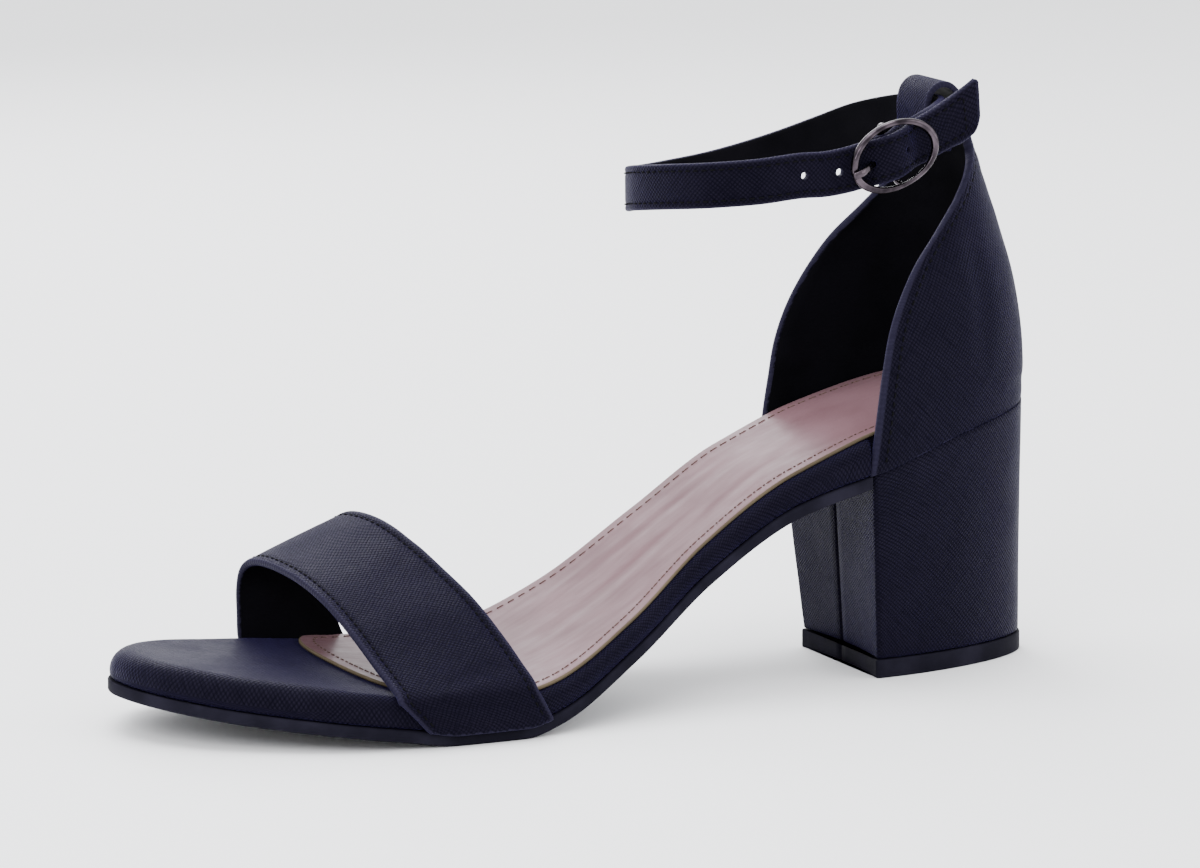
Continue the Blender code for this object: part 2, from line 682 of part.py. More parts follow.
def build_counter():
    """Closed back in one piece with the loop that folds over the ankle strap."""
    turns = np.linspace(-math.pi / 2, math.pi / 2, 21)
    base = float(underside(COUNTER_FRONT_X))
    rows = []
    for share in np.linspace(0.0, 1.0, 15):
        rear_rise = COUNTER_REAR_START + (1 - COUNTER_REAR_START) * share
        plan, depth = counter_row(share, rear_rise, turns)
        height = base + (share + (rear_rise - share) * depth) * COUNTER_HEIGHT
        lean = underside(plan[:, 0]) - (base + COUNTER_REAR_START * depth * COUNTER_HEIGHT)
        height = height + lean * (1 - share) ** 4
        rows.append(np.column_stack([plan, height]))
    top = rows[-1]
    centre = top[len(top) // 2]
    bend = np.stack([
        centre[0] - column(LOOP, LOOP_COLUMNS, "of_depth") * LOOP_DEPTH,
        centre[2] + column(LOOP, LOOP_COLUMNS, "of_height") * LOOP_HEIGHT,
    ], axis=1)
    spine = smooth_path(bend, 17)[1:]
    side = np.sin(turns) * LOOP_WIDTH / 2
    bow = (top[:, 0] - centre[0])
    for index, (x, z) in enumerate(spine):
        fade = 1 - ease(index, 0, 5)
        ys = side + (top[:, 1] - side) * fade
        rows.append(np.column_stack([x + bow * fade, ys, np.full(len(ys), z)]))
    loop_start = len(rows) - len(spine)
    in_loop = ease(np.arange(len(rows)), loop_start, loop_start + 4)
    thickness = COUNTER_WALL + (LOOP_WALL - COUNTER_WALL) * in_loop
    return wall(
        "heel_counter", np.array(rows), thickness,
        material("Counter leather", (0.016, 0.015, 0.026), 0.42),
    )


def strap_edge(which):
    """One long edge of the toe strap, from the outer foot over the arch to the inner foot."""
    places = TOE_STRAP_EDGES[which]
    height = TOE_STRAP_FRONT_HEIGHT if which == "front" else TOE_STRAP_REAR_HEIGHT
    across = column(ARCH, ARCH_COLUMNS, "across")
    rise = column(ARCH, ARCH_COLUMNS, which + "_rise") * height
    out = GAP + TOE_STRAP_WALL
    top_x = x_of(places["outer_top"]), x_of(places["inner_top"])
    xs = top_x[0] + (top_x[1] - top_x[0]) * across
    left = -(float(half_width(top_x[0], "outer")) + out)
    right = float(half_width(top_x[1], "inner")) + out
    arch = np.stack([xs, left + (right - left) * across, rise], axis=1)
    legs = []
    for side, sign, top in (("outer", -1, arch[0]), ("inner", 1, arch[-1])):
        foot_x = x_of(places[side + "_foot"])
        foot = np.array([foot_x, 0.0, float(underside(foot_x))])
        leg = [foot + (top - foot) * share for share in (0.0, 0.5)]
        for point in leg:
            point[1] = sign * (float(half_width(point[0], side)) + out)
        legs.append(leg)
    points = np.array(legs[0] + list(arch) + legs[1][::-1])
    knots = np.arange(len(points))
    at = np.linspace(0, len(points) - 1, 3 * len(points) - 2)
    return np.stack([through(knots, points[:, k], at) for k in range(3)], axis=1)


def build_toe_strap():
    """Wide band over the toes, lasted down over both edges of the footbed."""
    front, rear = strap_edge("front"), strap_edge("rear")
    out = GAP + TOE_STRAP_WALL
    rows = []
    for share in np.linspace(0.0, 1.0, 7):
        row = front + (rear - front) * share
        for side, sign in (("outer", -1), ("inner", 1)):
            edge = half_width(row[:, 0], side) + out
            lift = (row[:, 2] - board_top(row[:, 0])) / BOARD_EDGE_RADIUS + 1
            round_over = BOARD_EDGE_RADIUS * (1 - np.sqrt(1 - np.clip(lift, 0.0, 1.0) ** 2))
            need = np.where(lift < 1, edge - round_over, 0.0)
            near = row[:, 1] * sign > 0
            row[:, 1] = np.where(near, sign * np.maximum(row[:, 1] * sign, need), row[:, 1])
        floor = underside(row[:, 0])
        row[:, 2] = np.maximum(row[:, 2], floor)
        row[0, 2], row[-1, 2] = floor[0], floor[-1]
        rows.append(row)
    return wall(
        "toe_strap", np.array(rows)[::-1], TOE_STRAP_WALL,
        material("Strap leather", (0.016, 0.015, 0.026), 0.42),
    )


def buckle_axes():
    """Buckle centre, and its directions along the strap, up across it and out of it."""
    along = np.array([math.cos(BUCKLE_TILT), 0.0, math.sin(BUCKLE_TILT)])
    up = np.array([-math.sin(BUCKLE_TILT), 0.0, math.cos(BUCKLE_TILT)])
    centre = np.array([BUCKLE_X, -ANKLE_HALF_WIDTH - BUCKLE_FACE_OFFSET, BUCKLE_Z])
    return centre, along, up, np.array([0.0, -1.0, 0.0])


def ankle_path():
    """Middle line of the ankle strap from its fold on the bar to the free tip."""
    centre, along, up, out = buckle_axes()
    bar = centre - out * BUCKLE_BAR_RECESS
    wrap_radius = BUCKLE_BAR_RADIUS + GAP + ANKLE_STRAP_SKIVED / 2
    points = []
    for along_mm, behind_mm in FOLD_INNER_END:
        points.append(bar + along * along_mm * MM - out * (wrap_radius + behind_mm * MM))
    for degrees in range(90, 271, 30):
        turn = math.radians(degrees)
        points.append(bar + wrap_radius * (along * math.cos(turn) - out * math.sin(turn)))
    points.append(bar + along * FOLD_OUTER_ALONG + out * (wrap_radius - FOLD_OUTER_DROP))
    ring_start = len(points)
    ring = np.stack([
        ANKLE_RING_FRONT_X + column(ANKLE, ANKLE_COLUMNS, "along_ring") * ANKLE_RING_LENGTH,
        column(ANKLE, ANKLE_COLUMNS, "of_half_width") * ANKLE_HALF_WIDTH,
        ANKLE_FRONT_Z + column(ANKLE, ANKLE_COLUMNS, "above_front_mm") * MM,
    ], axis=1)
    free = (
        bar
        + np.outer(column(FREE_END, FREE_END_COLUMNS, "along_mm") * MM, along)
        + np.outer(column(FREE_END, FREE_END_COLUMNS, "out_of_bar_mm") * MM, out)
        + np.outer(column(FREE_END, FREE_END_COLUMNS, "up_mm") * MM, up)
    )
    return np.concatenate([points, ring, free]), ring_start


def build_ankle_strap():
    """Ankle strap: folded on the bar, through the loop, round the ankle, through the buckle."""
    points, ring_start = ankle_path()
    fine = smooth_path(points, 1200)
    fold_end = int(np.argmin(np.linalg.norm(fine - points[ring_start], axis=1)))
    picks = np.concatenate([
        np.linspace(0, fold_end, FOLD_STATIONS + 1)[:-1],
        np.linspace(fold_end, len(fine) - 1, STRAP_STATIONS),
    ]).astype(int)
    path = fine[picks]
    count = len(path)
    walked = np.concatenate([[0.0], np.cumsum(np.linalg.norm(np.diff(path, axis=0), axis=1))])
    ring_at = walked[FOLD_STATIONS]
    thin = 1 - ease(walked, ring_at * 0.9, ring_at * 1.3)
    thickness = ANKLE_STRAP_THICKNESS + (ANKLE_STRAP_SKIVED - ANKLE_STRAP_THICKNESS) * thin
    centre, along, up, _ = buckle_axes()
    free = 1 - ease(walked, ring_at, ring_at + ANKLE_STRAP_WIDTH)
    ups = np.array([0.0, 0.0, 1.0]) * (1 - free[:, None]) + up * free[:, None]
    section = ((1, -0.86), (1, 0.86), (0.5, 1), (-0.5, 1), (-1, 0.86), (-1, -0.86), (-0.5, -1), (0.5, -1))
    widths = np.stack([thickness / 2, np.full(count, ANKLE_STRAP_WIDTH / 2)], axis=1)
    grid, faces = sweep(path, widths, ups, section)
    tip_share = ease(walked, walked[-1] - ANKLE_STRAP_WIDTH, walked[-1])
    heading = path[-1] - path[-2]
    heading /= np.linalg.norm(heading)
    rise = np.array(section)[:, 1]
    slant = TIP_SLANT * rise - TIP_ROUND * np.clip(-rise - 0.2, 0.0, 1.0)
    grid += heading * (tip_share[:, None] * slant[None, :])[..., None]
    strap = new_object(
        "ankle_strap", grid.reshape(-1, 3), faces, material("Ankle strap leather", (0.016, 0.015, 0.026), 0.42)
    )
    side = np.cross(np.gradient(path, axis=0), ups)
    side /= np.linalg.norm(side, axis=1, keepdims=True)
    tail = walked > walked[-1] - 6 * ANKLE_HOLE_SPACING
    for index in OPEN_HOLES:
        reach = PRONG_HOLE_REACH + index * ANKLE_HOLE_SPACING
        place = [np.interp(reach, (path[tail] - centre) @ along, path[tail, k]) for k in range(3)]
        way = side[np.argmin(np.linalg.norm(path - place, axis=1))]
        depth = ANKLE_STRAP_THICKNESS / 2 + GAP
        ends = np.array([place - way * depth, place + way * depth])
        drill = tube("drill", ends, ANKLE_HOLE_DIAMETER / 2, up, 10)
        cut_or_join(strap, drill, "DIFFERENCE")
    prong = prong_path()
    hook_end = prong[0] - prong[1]
    clear_end = prong[0] + hook_end / np.linalg.norm(hook_end) * GAP
    slot = tube("slot", np.vstack([clear_end, prong]), PRONG_RADIUS + GAP, up, 8)
    cut_or_join(strap, slot, "DIFFERENCE")
    return strap


def tube(name, path, radius, across, sides):
    """Round bar along a path that stays in the plane square to the given direction."""
    path = np.asarray(path, float)
    ups = np.tile(across, (len(path), 1))
    widths = np.full((len(path), 2), radius)
    points, faces = sweep(path, widths, ups, round_section(sides))
    return new_object(name, points.reshape(-1, 3), faces, material(name, (0.3, 0.28, 0.3), 0.25, 1.0))


def prong_path():
    """Middle line of the prong: a hook round the bar, then out through the hole to the rim."""
    centre, along, up, out = buckle_axes()
    bar = centre - out * BUCKLE_BAR_RECESS
    hook = BUCKLE_BAR_RADIUS + GAP + PRONG_RADIUS
    points = []
    for degrees in range(150, -91, -30):
        turn = math.radians(degrees)
        points.append(bar + hook * (along * math.cos(turn) - out * math.sin(turn)))
    rim_out = BUCKLE_WIRE_RADIUS + GAP + PRONG_RADIUS
    hole = PRONG_HOLE_REACH
    points.append(bar + along * hole * 0.5 + out * (hook + 0.02 * MM))
    points.append(bar + along * hole * 1.04 + out * (hook + PRONG_RADIUS))
    points.append(bar + along * hole * 1.6 + out * (BUCKLE_BAR_RECESS + rim_out * 0.45))
    points.append(centre - along * (BUCKLE_HALF_LENGTH - BUCKLE_WIRE_RADIUS) + out * (rim_out - 0.02 * MM))
    points.append(centre - along * (BUCKLE_HALF_LENGTH + BUCKLE_WIRE_RADIUS) + out * rim_out)
    return smooth_path(points, 26)


def build_prong():
    """Prong hooked on the bar and resting on the rim of the frame."""
    up = buckle_axes()[2]
    return tube("buckle_prong", prong_path(), PRONG_RADIUS, up, 8)


def build_buckle():
    """Oval wire frame with a set-back bar across its middle."""
    centre, along, up, out = buckle_axes()
    turn = np.arange(BUCKLE_STATIONS) * 2 * math.pi / BUCKLE_STATIONS
    ring = centre + BUCKLE_HALF_LENGTH * np.outer(np.cos(turn), along)
    ring = ring + BUCKLE_HALF_HEIGHT * np.outer(np.sin(turn), up)
    widths = np.full((BUCKLE_STATIONS, 2), BUCKLE_WIRE_RADIUS)
    normals = np.tile(out, (BUCKLE_STATIONS, 1))
    points, faces = sweep(ring, widths, normals, round_section(8), closed=True)
    metal = material("Buckle metal", (0.33, 0.30, 0.32), 0.22, 1.0)
    frame = new_object("buckle_frame", points.reshape(-1, 3), faces, metal)
    rises = column(BAR, BAR_COLUMNS, "of_half_height")
    recess = column(BAR, BAR_COLUMNS, "of_recess") * BUCKLE_BAR_RECESS
    rises = np.concatenate([rises, -rises[::-1]])
    recess = np.concatenate([recess, recess[::-1]])
    bar_path = centre + BUCKLE_HALF_HEIGHT * np.outer(rises, up) - np.outer(recess, out)
    bar = tube("bar", bar_path, BUCKLE_BAR_RADIUS, along, 8)
    cut_or_join(frame, bar, "UNION")
    return frame


def centre_on_floor(things):
    """Shift every piece by the same amount so that the middle of the whole box is over the origin."""
    bpy.context.view_layer.update()
    corners = np.array([np.array(v.co) for thing in things for v in thing.data.vertices])
    low, high = corners.min(axis=0), corners.max(axis=0)
    shift = np.array([(low[0] + high[0]) / 2, (low[1] + high[1]) / 2, 0.0])
    for thing in things:
        for vertex in thing.data.vertices:
            vertex.co = tuple(np.array(vertex.co) - shift)
        thing.data.update()


def build_sandal():
    """Build every piece of the sandal."""
    for old in list(bpy.data.objects):
        bpy.data.objects.remove(old)
    things = [
        build_outsole(),
        build_footbed(),
        build_sock(),
        build_heel(),
        build_lift(),
        build_counter(),
        build_toe_strap(),
        build_ankle_strap(),
        build_buckle(),
        build_prong(),
    ]
    centre_on_floor(things)


build_sandal()
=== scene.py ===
"""Block heel sandal for the left foot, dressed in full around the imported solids.

The toe points to -X and the heel to +X, the outer side of the foot is -Y, and the shoe stands on z = 0.
Each sub-assembly is a class with its sizes, a method that builds its surface, and its finishes.
"""
import logging
import math
from dataclasses import dataclass
from enum import Enum

import bmesh
import bpy
import numpy as np
from mathutils import Matrix


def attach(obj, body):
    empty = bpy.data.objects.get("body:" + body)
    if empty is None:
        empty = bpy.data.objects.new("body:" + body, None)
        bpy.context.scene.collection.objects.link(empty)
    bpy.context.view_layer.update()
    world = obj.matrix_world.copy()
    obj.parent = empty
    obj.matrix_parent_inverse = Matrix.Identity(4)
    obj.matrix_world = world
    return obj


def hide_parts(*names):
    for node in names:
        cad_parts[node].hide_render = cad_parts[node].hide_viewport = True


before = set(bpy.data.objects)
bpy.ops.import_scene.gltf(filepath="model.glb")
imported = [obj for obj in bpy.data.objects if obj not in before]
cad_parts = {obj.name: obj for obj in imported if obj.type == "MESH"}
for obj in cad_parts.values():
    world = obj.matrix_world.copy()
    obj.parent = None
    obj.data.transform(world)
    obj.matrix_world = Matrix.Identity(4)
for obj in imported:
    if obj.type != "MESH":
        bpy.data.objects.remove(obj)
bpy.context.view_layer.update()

LOG = logging.getLogger("sandal")
Array = np.ndarray
Table = tuple[tuple[float, ...], ...]

MM = 0.001
SMALL = 1e-6
FAR_FROM_EDGE = 99.0
CENTRE_SHIFT = np.array([0.5, -1.671156, 0.0]) * MM


class Side(Enum):
    """Sides of the left shoe."""

    OUTER = -1
    INNER = 1

    @property
    def word(self) -> str:
        """Word that the tables use for this side."""
        return "outer" if self is Side.OUTER else "inner"


class Face(Enum):
    """Which finish of a piece a face takes."""

    SHOW = 0
    BACK = 1
    RIM = 2


OUTLINE_COLUMNS = ("along", "outer_of_ball", "outer_of_seat", "inner_of_ball", "inner_of_seat")
OUTLINE: Table = (
    (0.00, -0.090, 0.000, 0.090, 0.000),
    (0.10, 0.340, 0.000, 0.415, 0.000),
    (0.20, 0.488, 0.000, 0.448, 0.000),
    (0.30, 0.522, 0.000, 0.478, 0.000),
    (0.40, 0.515, 0.000, 0.408, 0.000),
    (0.50, 0.427, 0.000, 0.329, 0.000),
    (0.60, 0.000, 0.514, 0.000, 0.453),
    (0.70, 0.000, 0.515, 0.000, 0.455),
    (0.78, 0.000, 0.500, 0.000, 0.500),
)

PROFILE_COLUMNS = ("along", "of_toe_spring", "of_seat_rise", "of_board_thickness")
PROFILE: Table = (
    (0.00, 1.000, 0.000, 0.96),
    (0.10, 0.620, 0.000, 1.00),
    (0.18, 0.370, 0.000, 1.00),
    (0.24, 0.170, 0.000, 1.00),
    (0.29, 0.000, 0.000, 1.03),
    (0.36, 0.000, 0.000, 0.90),
    (0.40, 0.000, 0.036, 0.79),
    (0.50, 0.000, 0.227, 0.68),
    (0.60, 0.000, 0.473, 0.75),
    (0.70, 0.000, 0.696, 0.84),
    (0.80, 0.000, 0.795, 1.15),
    (0.90, 0.000, 0.920, 0.93),
    (1.00, 0.000, 1.000, 0.76),
)

COUNTER_COLUMNS = ("rise", "edge_reach", "half_of_seat", "inner_lead", "rear_reach", "fullness", "flare")
COUNTER: Table = (
    (0.00, 0.010, 0.500, 1.00, 0.950, 2.6, 1.00),
    (0.10, 0.030, 0.508, 1.00, 0.968, 2.6, 1.00),
    (0.22, 0.048, 0.520, 0.80, 0.980, 2.5, 1.00),
    (0.34, 0.072, 0.524, 0.66, 0.982, 2.4, 1.00),
    (0.46, 0.112, 0.514, 0.40, 0.968, 2.3, 1.00),
    (0.58, 0.185, 0.496, 0.10, 0.940, 2.2, 1.05),
    (0.68, 0.280, 0.462, 0.00, 0.903, 2.1, 1.15),
    (0.77, 0.405, 0.412, 0.00, 0.868, 2.1, 1.30),
    (0.86, 0.525, 0.362, 0.00, 0.823, 2.0, 1.50),
    (0.93, 0.610, 0.300, 0.00, 0.790, 2.0, 1.75),
    (0.97, 0.660, 0.235, 0.00, 0.772, 2.0, 1.90),
    (1.00, 0.700, 0.160, 0.00, 0.752, 2.0, 2.00),
)

LOOP_COLUMNS = ("of_depth", "of_height")
LOOP: Table = (
    (0.00, 0.000),
    (0.12, 0.220),
    (0.28, 0.460),
    (0.42, 0.680),
    (0.60, 0.860),
    (0.88, 0.985),
    (1.18, 0.980),
    (1.42, 0.860),
    (1.53, 0.640),
    (1.53, 0.380),
    (1.51, 0.130),
    (1.37, -0.020),
    (1.10, -0.052),
    (0.84, -0.056),
)

ARCH_COLUMNS = ("across", "front_rise", "rear_rise")
ARCH: Table = (
    (0.000, 0.340, 0.270),
    (0.025, 0.400, 0.330),
    (0.080, 0.465, 0.405),
    (0.160, 0.555, 0.515),
    (0.300, 0.721, 0.680),
    (0.450, 0.868, 0.805),
    (0.600, 0.960, 0.915),
    (0.740, 0.998, 0.985),
    (0.860, 1.000, 1.000),
    (0.940, 0.960, 0.972),
    (0.985, 0.875, 0.900),
    (1.004, 0.740, 0.760),
    (1.003, 0.560, 0.560),
    (1.000, 0.400, 0.350),
)
TOE_STRAP_EDGES = {
    "front": {"outer_foot": 0.2554, "outer_top": 0.2275, "inner_top": 0.1867, "inner_foot": 0.1960},
    "rear": {"outer_foot": 0.3880, "outer_top": 0.3712, "inner_top": 0.2980, "inner_foot": 0.3160},
}

ANKLE_COLUMNS = ("along_ring", "of_half_width", "above_front_mm")
ANKLE: Table = (
    (0.835, -0.740, 11.0),
    (0.930, -0.500, 12.2),
    (1.002, -0.250, 12.9),
    (1.014, 0.000, 12.8),
    (1.008, 0.260, 12.1),
    (0.976, 0.540, 10.7),
    (0.895, 0.800, 8.3),
    (0.800, 0.930, 5.3),
    (0.620, 1.000, 1.2),
    (0.420, 0.993, -1.8),
    (0.210, 0.890, -3.1),
    (0.055, 0.580, -2.4),
    (0.000, 0.170, -0.4),
    (0.022, -0.310, 1.5),
    (0.110, -0.740, 3.0),
    (0.240, -0.930, 3.9),
    (0.380, -0.975, 4.8),
)
FOLD_INNER_END: Table = ((7.5, 3.6), (3.4, 1.1))

FREE_END_COLUMNS = ("along_mm", "out_of_bar_mm", "up_mm")
FREE_END: Table = (
    (-17.0, 0.35, 2.0),
    (-11.6, 0.80, 0.9),
    (-6.4, 1.25, 0.3),
    (-3.0, 3.00, 0.0),
    (0.0, 3.75, 0.0),
    (3.0, 3.00, 0.0),
    (6.4, 1.25, 0.0),
    (11.6, 0.75, 0.3),
    (17.0, 0.60, 0.8),
    (21.9, 0.80, 1.6),
    (24.4, 0.90, 2.3),
)

BAR_COLUMNS = ("of_half_height", "of_recess")
BAR: Table = (
    (-1.000, 0.000),
    (-1.000, 0.250),
    (-0.995, 0.480),
    (-0.975, 0.670),
    (-0.935, 0.830),
    (-0.875, 0.945),
    (-0.800, 1.000),
)

# Inset and height above the floor of each level of the lift, in millimetres.
LIFT_EDGE: Table = (
    (0.35, 0.00),
    (0.10, 0.10),
    (0.00, 0.35),
    (0.00, 4.25),
    (0.10, 4.50),
    (0.35, 4.60),
)

# Distance of the close rows from each edge of the toe strap, in millimetres.
BAND_ROWS_MM = (0.0, 0.2, 0.45, 0.8, 1.15, 1.45, 1.7, 1.9, 2.1, 2.35, 2.7, 3.2, 4.0)


def column(table: Table, columns: tuple[str, ...], name: str) -> Array:
    """Return one named column of a table."""
    return np.array([row[columns.index(name)] for row in table], dtype=float)


def through(knots: Array, values: Array, at: Array, keep_flat: bool = False) -> Array:
    """Cubic curve through knots, each slope the length-weighted mean of its two chords.

    Args:
        knots: rising places of the known values.
        values: the known values.
        at: places to read.
        keep_flat: use harmonic mean slopes, which never swing past a flat stretch.

    Returns:
        The curve's values at the places.
    """
    knots, values = np.asarray(knots, float), np.asarray(values, float)
    steps = np.diff(knots)
    rises = np.diff(values) / steps
    slopes = np.empty_like(values)
    slopes[0], slopes[-1] = rises[0], rises[-1]
    before, after = rises[:-1], rises[1:]
    slopes[1:-1] = (before * steps[1:] + after * steps[:-1]) / (steps[1:] + steps[:-1])
    if keep_flat:
        same = before * after > 0
        slopes[1:-1] = np.where(same, 2 * before * after / np.where(same, before + after, 1.0), 0.0)
    at = np.clip(np.asarray(at, float), knots[0], knots[-1])
    cell = np.clip(np.searchsorted(knots, at, side="right") - 1, 0, len(steps) - 1)
    part = (at - knots[cell]) / steps[cell]
    square, cube = part**2, part**3
    return (
        values[cell] * (2 * cube - 3 * square + 1)
        + slopes[cell] * steps[cell] * (cube - 2 * square + part)
        + values[cell + 1] * (3 * square - 2 * cube)
        + slopes[cell + 1] * steps[cell] * (cube - square)
    )


def walk(points: Array) -> Array:
    """Distance walked along a row of points, from zero at the first."""
    return np.concatenate([[0.0], np.cumsum(np.linalg.norm(np.diff(points, axis=0), axis=1))])


def read_path(points: Array, at: Array, walked: Array | None = None) -> Array:
    """Points of a path at given distances along it, read straight between its points."""
    walked = walk(points) if walked is None else walked
    return np.stack([np.interp(at, walked, points[:, k]) for k in range(points.shape[1])], axis=1)


def smooth_path(points: Array, count: int) -> Array:
    """Smooth path through points, with evenly spaced points of the given count.

    Args:
        points: places that the path passes.
        count: how many points it gets.

    Returns:
        The path's points.
    """
    points = np.asarray(points, float)
    knots = walk(points)
    fine = np.linspace(0.0, knots[-1], 20 * count)
    curve = np.stack([through(knots, points[:, k], fine) for k in range(points.shape[1])], axis=1)
    return read_path(curve, np.linspace(0.0, walk(curve)[-1], count))


def ease(value: Array, start: float, end: float) -> Array:
    """Smooth step, three t squared minus two t cubed, from 0 at start to 1 at end."""
    share = np.clip((np.asarray(value, float) - start) / (end - start), 0.0, 1.0)
    return share * share * (3 - 2 * share)


def unit(vectors: Array) -> Array:
    """Vectors of length one along the last axis."""
    return vectors / np.maximum(np.linalg.norm(vectors, axis=-1, keepdims=True), 1e-12)


def grid_normals(points: Array) -> Array:
    """Normals of a grid: the cross product of its column steps and its row steps."""
    return unit(np.cross(np.gradient(points, axis=1), np.gradient(points, axis=0)))


def ripple(u: Array, v: Array, wave: float) -> Array:
    """Gentle fixed unevenness: three sine waves of unrelated lengths, added, between -1 and 1.

    Args:
        u: first place on the surface.
        v: second place on the surface.
        wave: length of the longest wave.

    Returns:
        The unevenness at each place.
    """
    turn = 2 * math.pi / wave
    return (
        0.45 * np.sin(turn * u + 1.3)
        + 0.33 * np.sin(turn * (0.61 * u + 0.83 * v) + 0.4)
        + 0.22 * np.sin(turn * (1.70 * u - 0.57 * v) + 2.1)
    )


@dataclass(frozen=True)
class Crease:
    """Soft trough with a low ridge on each side, along a short line on a surface.

    Places, width and depth are millimetres in the surface's own coordinates.
    """

    start: tuple[float, float]
    end: tuple[float, float]
    width: float
    depth: float

    def relief(self, u: Array, v: Array) -> Array:
        """Height at places on the surface, in metres.

        With t as the distance from the line over the width, the height is the depth times
        one and a half t squared less one, times the exponential of minus t squared. It is full at
        the middle of the line and fades to about a third at both ends.

        Args:
            u: first surface coordinate in millimetres.
            v: second surface coordinate in millimetres.

        Returns:
            The height at each place.
        """
        line = np.subtract(self.end, self.start)
        along = ((u - self.start[0]) * line[0] + (v - self.start[1]) * line[1]) / (line @ line)
        held = np.clip(along, 0.0, 1.0)
        off_u, off_v = u - self.start[0] - held * line[0], v - self.start[1] - held * line[1]
        away = np.hypot(off_u, off_v) / self.width
        fade = 0.35 + 0.65 * np.sin(math.pi * held)
        return self.depth * MM * fade * (1.5 * away**2 - 1) * np.exp(-(away**2))


def creased(creases: tuple[Crease, ...], u: Array, v: Array) -> Array:
    """Sum of the heights of some creases, in metres."""
    return sum(crease.relief(u, v) for crease in creases)


SOCK_CREASES = (
    Crease((-14.0, -9.0), (30.0, -5.0), 3.4, 0.20),
    Crease((2.0, 7.0), (46.0, 3.5), 3.2, 0.17),
    Crease((22.0, -13.0), (54.0, -9.0), 2.8, 0.13),
    Crease((-48.0, 5.0), (-22.0, 12.0), 3.6, 0.12),
)
BACK_CREASES = (
    Crease((-36.0, 14.0), (-27.0, 46.0), 4.2, 0.26),
    Crease((-24.0, 5.0), (14.0, 4.0), 2.8, 0.22),
    Crease((25.0, 17.0), (19.0, 47.0), 4.2, 0.22),
    Crease((-9.0, 57.0), (8.0, 59.0), 3.0, 0.18),
)
BAND_CREASES = (
    Crease((13.0, 6.0), (17.0, 27.0), 3.0, 0.18),
    Crease((94.0, 2.6), (98.0, 8.0), 1.5, 0.13),
    Crease((98.5, 2.6), (103.0, 7.2), 1.4, 0.12),
    Crease((103.0, 2.4), (107.0, 6.4), 1.3, 0.11),
    Crease((58.0, 25.0), (70.0, 33.0), 3.0, 0.12),
)


